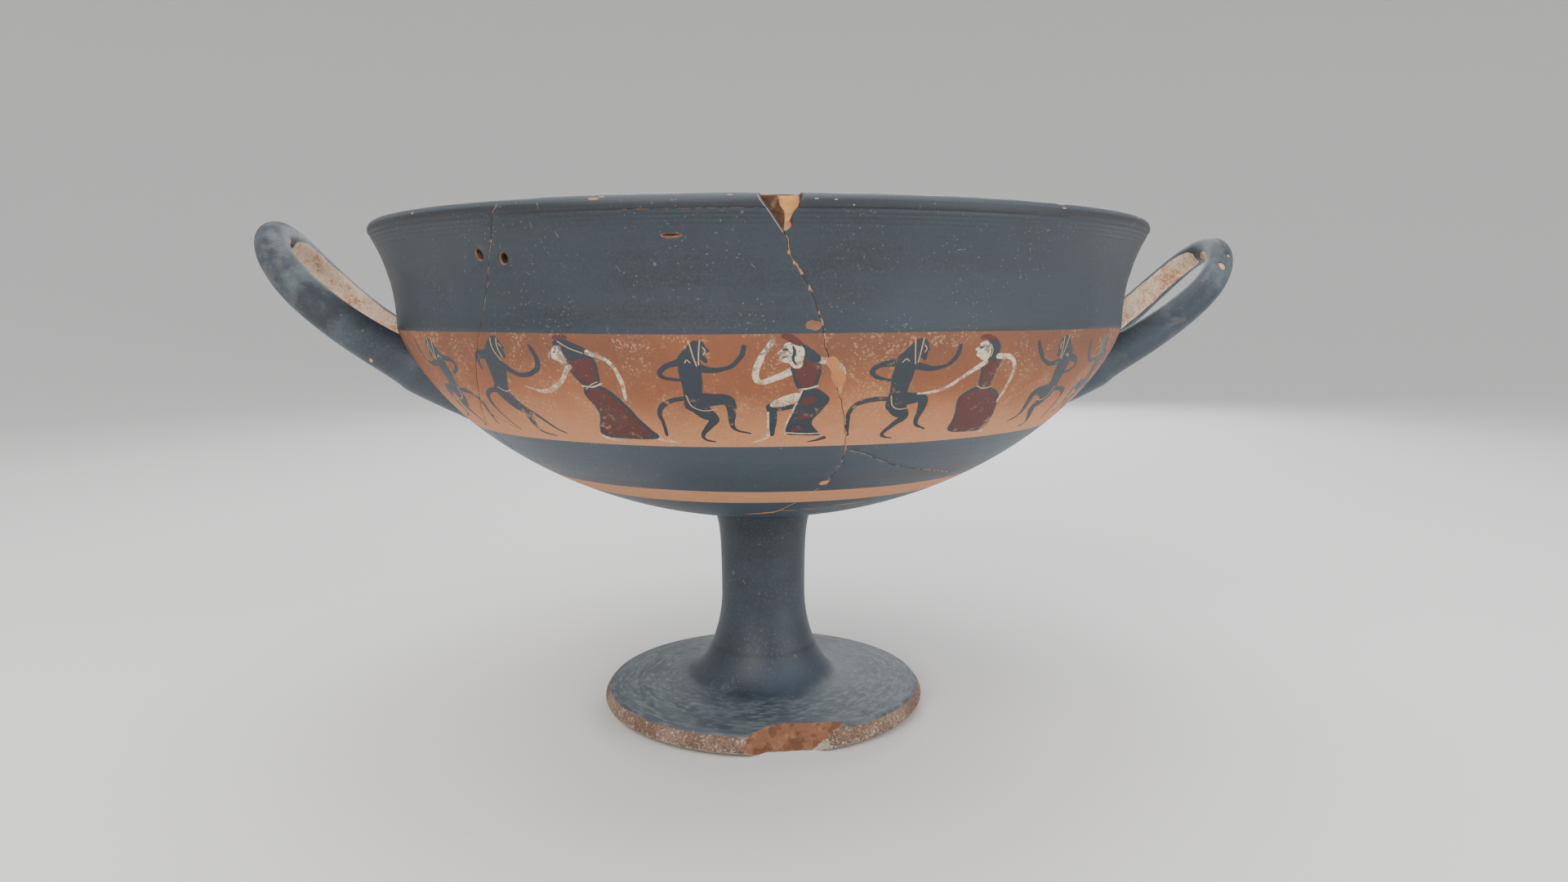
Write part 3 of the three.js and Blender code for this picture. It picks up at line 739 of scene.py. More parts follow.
# The dark paint of the shaded face also rims the break, 0.3 mm wide, just inside its edge.
draw(SHADE, chip_edge)
draw(BREAK, chip_inner)


def chip_part(paint, low_side, turns):
    """A part of the break: places on the outer side, closed over the crown at some azimuths."""
    over = [np.array([math.radians(a) * flat_radius, chip_high - 0.35]) for a in turns]
    draw(paint, densely(np.array(over + [flat(*p) for p in low_side]), 0.6))


# Painted shade on the break's left face, turned away from the light, and painted light on its right face, turned
# toward it.
chip_part(SHADE, [(-6.0, 142.6), (-5.2, 140.5), (-4.45, 138.4), (-3.65, 136.7), (-3.6, 138.4), (-3.55, 140.8),
                  (-3.75, 141.8), (-4.05, 142.8)], (-4.3, -6.1))
chip_part(PALE_AND_LIT, [(-3.95, 142.8), (-3.65, 141.8), (-3.45, 140.8), (-3.5, 138.6), (-2.95, 139.1), (-2.85, 140.2),
                 (-2.2, 141.2), (-2.25, 141.9), (-2.0, 142.7)], (-2.2, -4.1))
chip_rim = [flat(-6.45, 143.2), flat(-6.2, 142.2), flat(-5.35, 140.2), flat(-4.6, 138.2), flat(-3.75, 136.0)]
draw(LINE, ribbon(smooth_line(chip_rim, 0.6), 0.07))
print("chip from height", chip_foot, "up", round(chip_high - chip_low, 1), "mm")

# %% [markdown]
# ## Triangulate, and roll the zone up
#
# The triangulation takes all points and polygons at once and says which polygons each triangle
# lies in. The last one drawn wins, as with paint. Then each point is set on the profile, sunk where
# it belongs to a crack, a pit or the chip.

# %% Triangulation
run_low = np.arange(0, float(up_to(133)), 2.8)
run_high = np.arange(float(up_to(133)), zone_length - 0.3, 0.55)
run_groove = np.arange(float(up_to(137.1)), float(up_to(141.2)), 0.16)
rows_up = np.unique(np.concatenate([run_low[:-1], run_high, run_groove, [zone_length]]))
across_all = np.radians(columns) * flat_radius
grid = [(x, y) for y in rows_up for x in across_all]
chip_grid = [(x, y) for x in np.arange(-10.2, -3.0, 0.42) for y in np.arange(chip_low + 0.5, chip_high - 0.4, 0.42)]
flat_points = [Vector(p) for p in grid + chip_grid]
polygons = []
for paint, outline in drawn:
    polygons.append(list(range(len(flat_points), len(flat_points) + len(outline))))
    flat_points += [Vector(p) for p in outline]
edges = []
for kind, line, *_ in sunk:
    if kind == "line":
        first = len(flat_points)
        flat_points += [Vector(p) for p in line]
        edges += [(first + i, first + i + 1) for i in range(len(line) - 1)]
found, _, triangles, _, _, owners = delaunay_2d_cdt(flat_points, edges, polygons, 0, 1e-5)
zone = np.array([tuple(p) for p in found])
zone_paint = [drawn[max(owner)][0] if owner else SLIP for owner in owners]
print(len(flat_points), "points gave", len(zone), "and", len(triangles), "triangles")

# %% Sink the marks and roll up
def from_line(points, line):
    """Distance of each point from a line of straight pieces."""
    best = np.full(len(points), 1e9)
    for a, b in zip(line, line[1:]):
        step = b - a
        share = np.clip(((points - a) @ step) / max(step @ step, 1e-12), 0, 1)
        best = np.minimum(best, np.hypot(*(points - a - share[:, None] * step).T))
    return best


def within(points, outline):
    """Which points lie inside a closed outline."""
    odd = np.zeros(len(points), bool)
    for (ax, ay), (bx, by) in zip(outline, np.roll(outline, -1, 0)):
        crosses = (ay > points[:, 1]) != (by > points[:, 1])
        meets = ax + (points[:, 1] - ay) * (bx - ax) / (by - ay if by != ay else 1e-12)
        odd ^= crosses & (points[:, 0] < meets)
    return odd


profile_along = np.gradient(zone_line, axis=0)
profile_along /= np.hypot(*profile_along.T)[:, None]
out_radius = np.interp(zone[:, 1], zone_run, profile_along[:, 1])
out_height = -np.interp(zone[:, 1], zone_run, profile_along[:, 0])
zone_radius = np.interp(zone[:, 1], zone_run, zone_line[:, 0])
zone_height = np.interp(zone[:, 1], zone_run, zone_line[:, 1])
azimuths = np.degrees(zone[:, 0] / flat_radius)

turned_lines = [(140.5, 0.32, 0.22), (139.5, 0.22, 0.09), (138.6, 0.22, 0.06), (137.6, 0.25, 0.05)]
fine_run = np.arange(0, zone_length, 0.05)
fine_sink = sum(depth * np.exp(-((fine_run - up_to(height)) / half) ** 2) for height, half, depth in turned_lines)
sink = np.interp(zone[:, 1], fine_run, fine_sink)
tilt = np.interp(zone[:, 1], fine_run, np.gradient(fine_sink, fine_run))
marked = np.zeros(len(zone), bool)
for kind, line, *rest in sunk:
    near = np.abs(zone - np.mean(line if kind == "line" else [line], 0)).max(1) < 90
    if kind == "line":
        half, depth = rest
        away = from_line(zone[near], line)
        sink[near] += depth * np.clip(1 - away / (half * 1.3), 0, 1)
        marked[np.flatnonzero(near)[away < half * 1.6]] = True
    else:
        inner, depth = rest
        grown = line + (inner - line) * 1.03
        hit = within(zone, grown)
        sink[hit] = np.maximum(sink[hit], depth)
        marked |= within(zone, line + (inner - line) * 1.5)
zone_radius -= sink * out_radius
zone_height -= sink * out_height

in_chip = within(zone, chip_outline)
depth_share = np.clip(from_line(zone, np.concatenate([chip_outline, chip_outline[:1]])) / 0.3, 0, 1) * in_chip
up_share = np.clip((zone[:, 1] - chip_low) / (chip_high - chip_low), 0, 1)
floor_radius = radius_up(chip_low) + (chip_back - radius_up(chip_low)) * up_share
floor_height = chip_foot + (lip_centre[1] + lip_round * math.sin(back_turn) - chip_foot) * up_share
rough = np.array([noise.noise((x * 0.7, y * 0.7, 5.0)) + 0.4 * noise.noise((x * 2.1, y * 2.1, 1.0))
                  for x, y in zone[in_chip]])
floor_radius[in_chip] += 0.35 * rough
valley = -3.7
floor_radius += 1.3 * np.clip((np.abs(azimuths - valley) - 0.15) / 1.9, 0, 1) * up_share
zone_radius += (floor_radius - zone_radius) * depth_share
zone_height += (floor_height - zone_height) * depth_share
marked |= in_chip | (from_line(zone, np.concatenate([chip_outline, chip_outline[:1]])) < 0.3)

zone_points = around(zone_radius, zone_height, azimuths)
tilted = np.stack([out_radius - tilt * out_height, out_height + tilt * out_radius], -1)
tilted /= np.hypot(*tilted.T)[:, None]
known = around(tilted[:, 0], tilted[:, 1], azimuths)
known[marked] = 0
cup.add(zone_points, triangles, zone_paint, known)
print(int(marked.sum()), "points belong to breaks")

# %% [markdown]
# ## One closed mesh
#
# Points that coincide are merged, so foot, stem, painted zone and inside become one closed skin.
# The triangles of the painted zone are uneven, and shading from them would show. So those points
# get the normal that the smooth profile has there, and all others keep what Blender works out.

# %% Make the mesh
def merged(points, faces):
    """Which point each point becomes, and the faces without collapsed corners."""
    keys = np.round(np.asarray(points) / 0.003 + 0.31).astype(np.int64)
    _, first, which = np.unique(keys, axis=0, return_index=True, return_inverse=True)
    which = which.reshape(-1)
    clean, kept = [], []
    for number, face in enumerate(faces):
        corners = [which[corner] for corner in face]
        corners = [c for i, c in enumerate(corners) if c != corners[i - 1]]
        if len(set(corners)) == len(corners) > 2:
            clean.append(corners)
            kept.append(number)
    return first, clean, kept


def mesh_object(name, points, faces, paint, normals, material):
    """A smooth mesh with a paint number on each face."""
    first, clean, kept = merged(points, faces)
    mesh = bpy.data.meshes.new(name)
    mesh.from_pydata((points[first] * MM).tolist(), [], clean)
    layer = mesh.attributes.new("paint", "FLOAT", "FACE")
    layer.data.foreach_set("value", np.array(paint, float)[kept])
    mesh.polygons.foreach_set("use_smooth", np.ones(len(clean), bool))
    mesh.update()
    own = np.zeros(len(first) * 3)
    mesh.vertices.foreach_get("normal", own)
    own = own.reshape(-1, 3)
    given = normals[first]
    use = np.hypot(given[:, 0], np.hypot(given[:, 1], given[:, 2])) > 0.5
    own[use] = given[use]
    mesh.normals_split_custom_set_from_vertices(own.tolist())
    mesh.materials.append(material)
    piece = bpy.data.objects.new(name, mesh)
    bpy.context.scene.collection.objects.link(piece)
    return piece


def open_edges(mesh):
    """How many edges don't have exactly two faces."""
    count = np.zeros(len(mesh.edges), int)
    for polygon in mesh.polygons:
        for key in polygon.loop_indices:
            count[mesh.loops[key].edge_index] += 1
    return int((count != 2).sum())


print("helpers ready")

# %% [markdown]
# ## Slip and clay as one finish
#
# All of the cup is one fired clay, so one finish covers it, and the paint number of each face
# picks the colour. A ramp with hard steps turns numbers into colours. On top come what the kiln,
# the brush and the ground did: streaks round the wheel's axis in the slip, thin brownish places,
# a clay that reddens in patches, pale deposits and small losses. Painted light and shade are laid
# on too: a painted highlight along the crown and painted shade in the folds of broken clay, besides
# the lit and shaded faces of the lip chip and the shade in holes, which come with their paints.
# Shader maths is written as plain arithmetic on sockets.

# %% Sockets that can be reckoned with
class Wire:
    """A socket of a shader, with ordinary arithmetic."""

    def __init__(self, finish, socket):
        self.finish, self.socket = finish, socket

    def maths(self, operation, first, second):
        return self.finish.node("Math", {"operation": operation}, {0: first, 1: second})

    def __add__(self, other):
        return self.maths("ADD", self, other)

    def __sub__(self, other):
        return self.maths("SUBTRACT", self, other)

    def __rsub__(self, other):
        return self.maths("SUBTRACT", other, self)

    def __mul__(self, other):
        return self.maths("MULTIPLY", self, other)

    def __truediv__(self, other):
        return self.maths("DIVIDE", self, other)

    __radd__, __rmul__ = __add__, __mul__


class Finish:
    """A material whose nodes are added by what they do."""

    def __init__(self, name):
        self.material = bpy.data.materials.new(name)
        self.material.use_nodes = True
        self.tree = self.material.node_tree
        self.shader = self.tree.nodes["Principled BSDF"]

    def node(self, kind, settings=None, inputs=None, output=0):
        """Any node: its type, its settings first, then the values or links of its sockets."""
        node = self.tree.nodes.new("ShaderNode" + kind)
        settings = dict(settings or {})
        stops = settings.pop("stops", [])
        steps = settings.pop("steps", None)
        for name, value in settings.items():
            setattr(node, name, value)
        if steps:
            node.color_ramp.interpolation = steps
        for number, (place, colour) in enumerate(stops):
            elements = node.color_ramp.elements
            element = elements[number] if number < 2 else elements.new(place)
            element.position, element.color = place, (*colour, 1)
        for name, value in (inputs or {}).items():
            self.feed(node.inputs[name], value)
        return Wire(self, node.outputs[output])

    def feed(self, socket, value):
        if isinstance(value, Wire):
            self.tree.links.new(value.socket, socket)
        else:
            socket.default_value = value

    def mix(self, factor, first, second, blend="MIX"):
        """Two colours mixed by a factor."""
        first, second = [(*c, 1) if isinstance(c, tuple) else c for c in (first, second)]
        return self.node("Mix", {"data_type": "RGBA", "blend_type": blend}, {0: factor, 6: first, 7: second}, 2)

    def between(self, value, low, high):
        """0 below low, 1 above high, and soft between."""
        return self.node("MapRange", {"interpolation_type": "SMOOTHSTEP"},
                         {"Value": value, "From Min": low, "From Max": high})

    def cloud(self, place, scale, detail=3.0, roughness=0.55):
        """Noise about 0.5, at a place in space."""
        return self.node("TexNoise", {}, {"Vector": place, "Scale": scale, "Detail": detail,
                                          "Roughness": roughness})


def eye(red, green, blue):
    """A colour given from 0 to 255, as the light it stands for."""
    return tuple(((v / 255 + 0.055) / 1.055) ** 2.4 if v > 10 else v / 255 / 12.92 for v in (red, green, blue))


print("slip colour as light", [round(v, 3) for v in eye(70, 82, 92)])

# %% The painted clay
painted = Finish("painted_clay")
place = painted.node("TexCoord", {}, {}, 3)
paint = painted.node("Attribute", {"attribute_name": "paint"}, {}, 2)
x, y, z = [painted.node("SeparateXYZ", {}, {0: place}, k) for k in range(3)]
reach = painted.node("Math", {"operation": "SQRT"}, {0: x * x + y * y + 1e-8})
streaming = painted.node("CombineXYZ", {}, {0: x / reach * 0.9, 1: y / reach * 0.9, 2: (z + reach * 0.7) * 130})


def step_ramp(values):
    """A ramp that gives each paint its own value or colour."""
    stops = [(number / paint_count, v if isinstance(v, tuple) else (v, v, v)) for number, v in enumerate(values)]
    return painted.node("ValToRGB", {"steps": "CONSTANT", "stops": stops}, {0: (paint + 0.5) * (1 / paint_count)})


def is_paint(first, last=None):
    """1 where the paint is this one, or one of a run."""
    last = first if last is None else last
    return painted.between(paint, first - 0.6, first - 0.4) * (1 - painted.between(paint, last + 0.4, last + 0.6))


# The chip's dark brown is painted shade and its tan is painted light; the same tan also colours pale marks low on the
# wall.
colours = [eye(48, 55, 61), eye(158, 96, 62), eye(46, 54, 61), eye(86, 48, 46), eye(200, 188, 160),
           eye(172, 142, 106), eye(158, 118, 92), eye(172, 116, 74), eye(70, 46, 34), eye(112, 82, 66),
           eye(128, 88, 66), eye(176, 122, 88), eye(52, 38, 30), eye(76, 52, 40), eye(198, 142, 82)]
ground = step_ramp(colours)

streaks = painted.cloud(streaming, 1.0, 4.0, 0.6)
fine_streaks = painted.cloud(streaming, 3.1, 3.0, 0.6)
patches = painted.cloud(place, 28.0, 3.0)
grain = painted.cloud(place, 1500.0, 2.0, 0.6)
blotches = painted.cloud(place, 90.0, 4.0, 0.6)
crumbs = painted.cloud(place, 420.0, 3.0, 0.6)
brush = painted.cloud(streaming, 11.0, 2.0, 0.6)


def specks(scale, size, where, low, high):
    """Small round spots, one in each cell of space, kept where a cloud is thick."""
    cell = painted.node("TexVoronoi", {}, {"Vector": place, "Scale": scale})
    return (1 - painted.between(cell, size, size * 1.8)) * painted.between(where, low, high)


def scratches(scale, where):
    """Thin bent lines, where one cloud crosses its middle and another is thick."""
    level = painted.cloud(place, scale, 1.0, 0.4)
    off = painted.node("Math", {"operation": "ABSOLUTE"}, {0: level - 0.5})
    return (1 - painted.between(off, 0.002, 0.006)) * painted.between(where, 0.6, 0.66)


handle_spots = [((131.9, 133.0), 0.9), ((-106.4, 107.8), 0.5), ((135.6, 136.2), 0.4)]


def spot_at(side_place, size):
    """1 on the front near a place given as across and up, in millimetres, and soft at its edge."""
    away = [(axis - value / 1000) for axis, value in zip((x, z), side_place)]
    far = painted.node("Math", {"operation": "SQRT"}, {0: away[0] * away[0] + away[1] * away[1]})
    edge = far + (crumbs - 0.5) * size * 0.0015
    return (1 - painted.between(edge, size * 0.0008, size * 0.001)) * (1 - painted.between(y, -0.012, -0.01))


dots = specks(300.0, 0.03, crumbs, 0.54, 0.6)
fine_dots = specks(900.0, 0.11, blotches, 0.42, 0.6)
marks = scratches(60.0, crumbs)

slip = painted.mix(painted.between(streaks, 0.3, 0.75), eye(44, 50, 57), eye(55, 64, 73))
slip = painted.mix(painted.between(patches, 0.42, 0.7) * 0.5, slip, eye(58, 72, 86))
slip = painted.mix(painted.between(blotches, 0.5, 0.75) * 0.25, slip, eye(56, 54, 54))
slip = painted.mix(painted.between(grain, 0.42, 0.62) * 0.35, slip, eye(66, 75, 82))
slip = painted.mix(painted.between(fine_streaks, 0.58, 0.78) * 0.3, slip, eye(68, 60, 56))
slip = painted.mix(painted.between(brush, 0.55, 0.75) * 0.2, slip, eye(74, 82, 88))
upper_wall = painted.between(z, 0.115, 0.1165)
slip = painted.mix(upper_wall * 0.4, slip, eye(40, 44, 48))
lower_wall = painted.between(z, 0.061, 0.065) * (1 - painted.between(z, 0.095, 0.11))
slip = painted.mix(lower_wall * 0.5, slip, eye(72, 84, 95))
foot_top = (1 - painted.between(z, 0.0098, 0.0135)) \
    * painted.between(reach + (blotches - 0.5) * 0.024, 0.020, 0.034)
worn_foot = painted.mix(painted.between(fine_streaks, 0.35, 0.65), eye(64, 72, 79), eye(84, 93, 99))
worn_foot = painted.mix(painted.between(brush, 0.45, 0.65) * 0.65, worn_foot, eye(114, 124, 128))
worn_foot = painted.mix(painted.between(streaks, 0.55, 0.75) * 0.3, worn_foot, eye(92, 84, 76))
slip = painted.mix(foot_top * 0.8, slip, worn_foot)
at_lip = 1 - painted.between(reach, 0.1108, 0.1112)
lip_band = painted.between(z, 0.1405, 0.1408) * (1 - painted.between(z, 0.1422, 0.1426)) * at_lip
slip = painted.mix(lip_band * 0.4, slip, eye(38, 37, 37))
lip_light = painted.between(z, 0.1423, 0.1428) * at_lip
slip = painted.mix(lip_light * 0.35, slip, eye(82, 89, 93))
on_handle = painted.between(reach, 0.1115, 0.122)
slip = painted.mix(on_handle * painted.between(blotches + crumbs * 0.4, 0.6, 0.85) * 0.5, slip, eye(94, 106, 112))
slip = painted.mix(on_handle * painted.between(crumbs, 0.55, 0.66) * 0.35, slip, eye(90, 78, 68))
low_band = painted.between(z, 0.0775, 0.0785) * (1 - painted.between(z, 0.0805, 0.0818))
slip = painted.mix(low_band * painted.between(streaks, 0.4, 0.6) * 0.45, slip, eye(78, 66, 58))
step_line = painted.between(z, 0.0172, 0.0182) * (1 - painted.between(z, 0.0186, 0.0194))
slip = painted.mix(step_line * 0.35, slip, eye(34, 34, 36))
slip = painted.mix(marks * 0.5, slip, eye(128, 124, 114))
slip = painted.mix(fine_dots * 0.5, slip, eye(120, 120, 114))
slip = painted.mix(dots * 0.55, slip, eye(160, 150, 134))

low_clay = 1 - painted.between(z, 0.088, 0.104)
clay = painted.mix(painted.between(patches + low_clay * 0.2, 0.38, 0.68), eye(136, 84, 56), eye(160, 102, 68))
clay = painted.mix(low_clay * 0.75, clay, eye(204, 146, 104))
clay = painted.mix(painted.between(blotches, 0.5, 0.75) * 0.35, clay, eye(178, 126, 90))
high = painted.between(z, 0.100, 0.1135)
clay = painted.mix(high * painted.between(patches, 0.2, 0.55) * 0.8, clay, eye(102, 68, 52))
scrub = painted.between(grain, 0.52, 0.66) * painted.between(blotches + crumbs * 0.5, 0.7, 0.86)
clay = painted.mix(scrub * 0.5, clay, eye(204, 170, 130))
clay = painted.mix(fine_dots * 0.6, clay, eye(206, 180, 140))
clay = painted.mix(dots * 0.7, clay, eye(212, 194, 164))
clay = painted.mix(painted.between(grain, 0.5, 0.66) * 0.2, clay, eye(112, 66, 44))
worn_white = painted.between(crumbs * 0.5 + patches * 0.5, 0.6, 0.66) * (1 - painted.between(z, 0.0765, 0.078))
clay = painted.mix(worn_white * 0.6, clay, eye(206, 192, 170))

low_edge = 1 - painted.between(z, 0.0006, 0.0042)
bare = painted.mix(painted.between(blotches * 0.6 + grain * 0.4, 0.4, 0.6), eye(102, 80, 68), eye(134, 110, 94))
pale_wear = painted.between(crumbs * 0.35 + grain * 0.65 + low_edge * 0.16, 0.54, 0.66)
bare = painted.mix(pale_wear * 0.6, bare, eye(190, 178, 162))
deposit = painted.mix(painted.between(crumbs * 0.5 + blotches * 0.5, 0.38, 0.56), ground, eye(208, 182, 154))
deposit = painted.mix(painted.between(grain, 0.44, 0.62) * 0.5, deposit, eye(222, 210, 194))
deposit = painted.mix(painted.between(blotches, 0.56, 0.7) * 0.3, deposit, eye(156, 100, 70))

colour = painted.mix(is_paint(SLIP), ground, slip)
for side_place, size in handle_spots:
    colour = painted.mix(spot_at(side_place, size) * 0.8, colour, eye(204, 156, 112))
colour = painted.mix(is_paint(CLAY), colour, clay)
colour = painted.mix(is_paint(BARE), colour, bare)
colour = painted.mix(is_paint(DEPOSIT), colour, deposit)
crumbly = is_paint(BREAK, RECESS_SHADE) + is_paint(SPALL) + is_paint(SHADE, PALE_AND_LIT)
colour = painted.mix(crumbly * painted.between(crumbs, 0.5, 0.7) * 0.25, colour, eye(196, 152, 106))
colour = painted.mix(crumbly * painted.between(blotches, 0.5, 0.7) * 0.35, colour, eye(92, 60, 42))
# Dark lines of painted shade on bare breaks, standing for the folds of the broken clay.
fold_shade = is_paint(SPALL) * painted.between(painted.cloud(place, 240.0, 2.0), 0.53, 0.56)
colour = painted.mix(fold_shade * 0.5, colour, eye(78, 52, 40))
figures = is_paint(FIGURE, RED)
colour = painted.mix(figures * painted.between(blotches, 0.5, 0.72) * 0.3, colour, eye(72, 70, 70))
eaten = painted.between(crumbs * 0.55 + blotches * 0.45, 0.57, 0.62)
colour = painted.mix(figures * eaten * 0.5, colour, clay)
colour = painted.mix(figures * fine_dots * 0.4, colour, eye(150, 132, 110))
faded = painted.between(crumbs * 0.5 + grain * 0.25 + patches * 0.25, 0.46, 0.54)
colour = painted.mix(is_paint(WHITE) * faded * 0.7, colour, clay)
colour = painted.mix(is_paint(WHITE) * painted.between(grain, 0.55, 0.62) * 0.4, colour, eye(96, 92, 88))
heads = is_paint(WHITE) * painted.between(z, 0.1105, 0.112) * painted.between(grain * 0.5 + crumbs * 0.5, 0.48, 0.54)
colour = painted.mix(heads * 0.55, colour, eye(90, 98, 104))
# A painted highlight along the top of the crown, broken up by noise.
crown = at_lip * painted.between(z, 0.14345, 0.14375) * painted.between(blotches + grain * 0.5, 0.6, 0.85)
colour = painted.mix(crown * 0.6, colour, eye(164, 164, 158))

rough_steps = step_ramp([0.5, 0.75, 0.55, 0.65, 0.85, 0.85, 0.92, 0.88, 0.95, 0.88, 0.92, 0.9, 0.95, 0.92, 0.9])
roughness = rough_steps + (streaks - 0.5) * 0.2 + (grain - 0.5) * 0.2 + foot_top * 0.12
relief = (streaks + fine_streaks * 0.5) * 0.4 + grain * 0.3 + crumbly * (blotches + crumbs) * 1.4
bump = painted.node("Bump", {}, {"Height": relief, "Strength": 0.4, "Distance": 0.0004})
painted.feed(painted.shader.inputs["Specular IOR Level"], 0.36)
painted.feed(painted.shader.inputs["Base Color"], colour)
painted.feed(painted.shader.inputs["Roughness"], roughness)
painted.feed(painted.shader.inputs["Normal"], bump)
print(len(painted.tree.nodes), "nodes in the finish")

# %% The cup's body
all_points = np.concatenate(cup.points)
body = mesh_object("cup_body", all_points, cup.faces, cup.paint, np.concatenate(cup.normals), painted.material)
print("cup body", len(body.data.polygons), "faces,", open_edges(body.data), "open edges")

# %% [markdown]
# ## Handles
#
# Each handle is a rod of clay bent to a loop and pressed onto the wall while both were soft. A
# curve with a bevel would be quick, but the rod thickens toward its ends and its inner face was
# left bare, with a clean edge. So rings of points follow the same centre line as in the measured
# model, and the ring's points are shared out so that one runs along each edge of the bare face.

# %% Handle line
root_drop, bury, root_half, taper = 17, 10.4, 19.5, 1.35
bend, forward_turn, bare_reach = 20, 2.6, 0.975
bare_half, bare_lift = math.radians(51), math.radians(19)
root_height = shoulder_height - root_drop
root = np.array([np.interp(root_height, bowl[:, 1], bowl[:, 0]) - bury, root_height])


def handle_line(reach_out, rise, half_width, share):
    """Centre line, and the direction square on the loop, for shares of the way round."""
    tip = np.array([shoulder_radius + reach_out, shoulder_height + rise])
    pull = root + (tip - root) * (0.76, 0.42)
    upright = curve(root, pull, tip)
    total = lengths(upright)[-1]
    toward_tip = 1 - np.abs(2 * share - 1)
    on_leg = np.minimum(toward_tip / 0.5, 1)
    bent = np.maximum(toward_tip - 0.5, 0) / 0.5 * math.pi / 2
    onward = (total - bend) * on_leg + bend * np.sin(bent)
    spreading = on_leg * on_leg * (3 - 2 * on_leg)
    half = root_half + (half_width - root_half) * spreading
    across = half * np.cos(bent) * np.where(share < 0.5, -1, 1)
    on_profile = at(upright, onward)
    slope = at(upright, np.minimum(onward + 0.5, total)) - at(upright, np.maximum(onward - 0.5, 0))
    slope /= np.hypot(*slope.T)[:, None]
    centre = np.stack([on_profile[:, 0], across, on_profile[:, 1]], -1)
    over = np.stack([-slope[:, 1], 0 * across, slope[:, 0]], -1)
    return centre, over


def sunk_in_wall(points, depth=2.0):
    """Points that lie deep in the bowl's wall or beyond it, brought back to the middle of the wall."""
    flatly = np.stack([np.hypot(points[..., 0], points[..., 1]), points[..., 2]], -1).reshape(-1, 2)
    skin = bowl[bowl[:, 0] > 60]
    nearest = np.argmin(np.linalg.norm(flatly[:, None] - skin[None], axis=2), 1)
    along = np.gradient(skin, axis=0)
    along /= np.hypot(*along.T)[:, None]
    out = np.stack([along[:, 1], -along[:, 0]], -1)[nearest]
    inside_by = -np.sum((flatly - skin[nearest]) * out, 1)
    placed = np.where((inside_by > depth)[:, None], skin[nearest] - depth * out, flatly)
    stretch = (placed[:, 0] / np.maximum(flatly[:, 0], 1)).reshape(points.shape[:-1])
    return np.stack([points[..., 0] * stretch, points[..., 1] * stretch,
                     placed[:, 1].reshape(points.shape[:-1])], -1)


# %% Handle rods
def handle(name, side, reach_out, rise, half_width, tip_thick, root_thick):
    """One handle, with the bare face on the inside of its loop."""
    fine = np.linspace(0, 1, 1201)
    centre, over = handle_line(reach_out, rise, half_width, fine)
    run = np.concatenate([[0], np.cumsum(np.linalg.norm(np.diff(centre, axis=0), axis=1))])
    share = np.interp(np.linspace(0, run[-1], 121), run, fine)
    centre, over = handle_line(reach_out, rise, half_width, share)
    along = np.gradient(centre, axis=0)
    along /= np.linalg.norm(along, axis=1)[:, None]
    inner = np.cross(over, along)
    to_root = np.abs(2 * share - 1)
    thick = tip_thick + (root_thick - tip_thick) * to_root ** taper
    wall_distance = np.hypot(centre[:, 0], centre[:, 1]) - np.interp(centre[:, 2], bowl[:, 1], bowl[:, 0])
    thick = thick + 1.3 * np.exp(-np.maximum(wall_distance, 0) / 2.5) * (to_root > 0.6)
    rows, paints = [], []
    for number, place_share in enumerate(share):
        near_tip = np.clip((1 - to_root[number]) / bare_reach, 0, 1)
        half = bare_half * math.sqrt(max(1 - near_tip ** 12, 0.004))
        half += 0.08 * noise.noise((place_share * 40, side * 3.0, 0.5))
        bare_angles = np.linspace(-half, half, 13)
        slip_angles = np.linspace(half, 2 * math.pi - half, 20)[1:-1]
        angles = bare_lift + np.concatenate([bare_angles, slip_angles, bare_angles[:1] + 2 * math.pi])
        wobble = 1 + 0.02 * noise.noise((place_share * 9, side * 5.0, 2.0))
        ring = centre[number] + thick[number] * wobble * (
            np.cos(angles)[:, None] * inner[number] + np.sin(angles)[:, None] * over[number])
        rows.append(ring)
        paints.append([DEPOSIT if k < 12 and near_tip < 1 else SLIP for k in range(len(angles) - 1)])
    rows = np.array(rows)
    first, last = rows[:1] - 14 * along[0], rows[-1:] + 14 * along[-1]
    rows = sunk_in_wall(np.concatenate([first, rows, last]))
    paints = paints[:1] + paints + paints[-1:]
    if side < 0:
        rows[..., 0] *= -1
        rows = rows[:, ::-1]
        paints = [row[::-1] for row in paints]
    turn_by = math.radians(-side * forward_turn)
    c, s = math.cos(turn_by), math.sin(turn_by)
    rows = np.stack([c * rows[..., 0] - s * rows[..., 1], s * rows[..., 0] + c * rows[..., 1], rows[..., 2]], -1)
    rod = Shell()
    rod.add_rows(rows, [SLIP] * (len(rows) - 1))
    rod.paint = [p for row in paints[:-1] for p in row]
    for end, order in ((rows[0, :-1], -1), (rows[-1, :-1], 1)):
        rod.add(end, [list(range(len(end)))[::order]], [SLIP])
    points = np.concatenate(rod.points)
    return mesh_object(name, points, rod.faces, rod.paint, np.concatenate(rod.normals), painted.material)


left_handle = handle("left_handle", -1, 31.9, 25.2, 22.5, 4.1, 5.9)
right_handle = handle("right_handle", 1, 34.8, 22.8, 19.6, 3.6, 5.7)
for rod in (left_handle, right_handle):
    print(rod.name, len(rod.data.polygons), "faces,", open_edges(rod.data), "open edges")

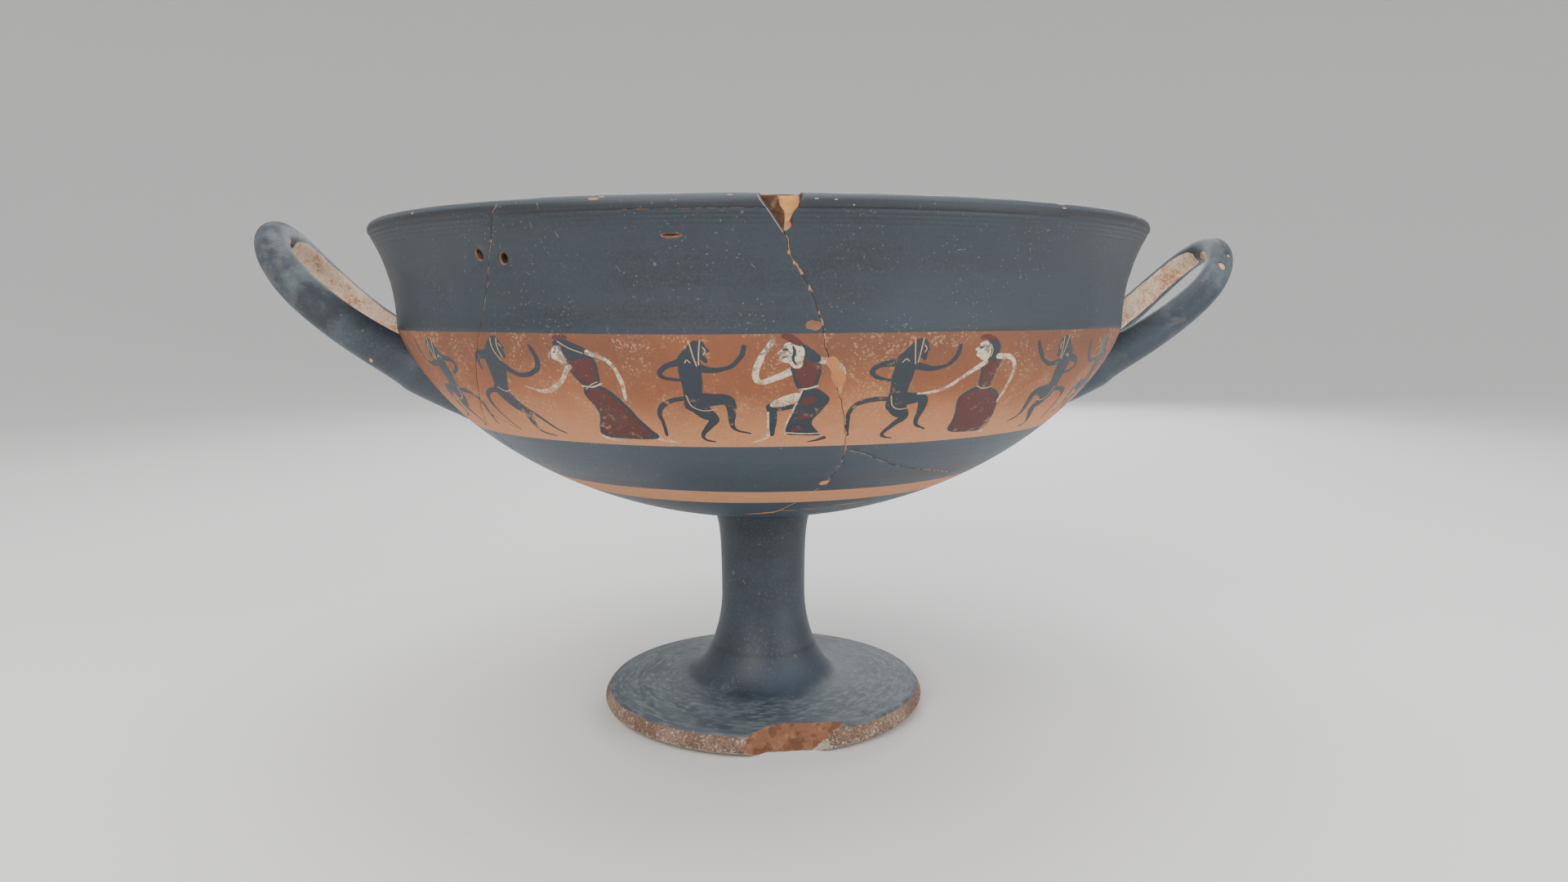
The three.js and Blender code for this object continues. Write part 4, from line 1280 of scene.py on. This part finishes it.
# %% [markdown]
# ## Put the pieces in the frame
#
# The one node of the measured model stays for the physics and hides here, and the three meshes
# show in its place. They ride on its only body and use the one painted clay finish.

# %% Frame
for piece in (body, left_handle, right_handle):
    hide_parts("kylix")
    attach(piece, "root")
print("pieces", [piece.name for piece in (body, left_handle, right_handle)])

# %% [markdown]
# ## Stage and light
#
# A pale dish of a floor rises far away on all sides, so no horizon cuts behind the cup from any
# angle. Large soft lights keep the slip's shine broad, as on a museum table.

# %% Floor
floor_line = joined([(0, 0), (1100, 0)], curve((1100, 0), (2000, 0), (2200, 1000), steps=24))
stage = Shell()
columns_kept, columns = columns, np.linspace(-180, 180, 97)
stage.add_rows(turned(floor_line), [0] * (len(floor_line) - 1))
columns = columns_kept
pale = Finish("pale_floor")
pale.feed(pale.shader.inputs["Base Color"], (0.74, 0.73, 0.71, 1))
pale.feed(pale.shader.inputs["Roughness"], 0.9)
stage_points = np.concatenate(stage.points) - (0, 0, 0.05)
floor = mesh_object("floor", stage_points, stage.faces, stage.paint, np.concatenate(stage.normals), pale.material)

# %% Lights
world = bpy.data.worlds.new("studio")
bpy.context.scene.world = world
world.use_nodes = True
world.node_tree.nodes["Background"].inputs["Color"].default_value = (0.94, 0.96, 1.0, 1)
world.node_tree.nodes["Background"].inputs["Strength"].default_value = 0.55


def soft_light(name, place_mm, size_mm, watts, colour):
    """A square area light aimed at the middle of the cup."""
    data = bpy.data.lights.new(name, "AREA")
    data.size, data.energy, data.color = size_mm * MM, watts, colour
    lamp = bpy.data.objects.new(name, data)
    lamp.location = Vector(place_mm) * MM
    lamp.rotation_euler = (Vector((0, 0, 90)) * MM - lamp.location).to_track_quat("-Z", "Y").to_euler()
    bpy.context.scene.collection.objects.link(lamp)


soft_light("key", (-500, -850, 700), 700, 11, (1.0, 0.97, 0.93))
soft_light("fill", (750, -650, 400), 800, 6.5, (0.95, 0.97, 1.0))
soft_light("top", (0, 100, 1000), 900, 8, (1.0, 1.0, 1.0))
soft_light("behind", (300, 900, 500), 700, 5, (0.95, 0.98, 1.0))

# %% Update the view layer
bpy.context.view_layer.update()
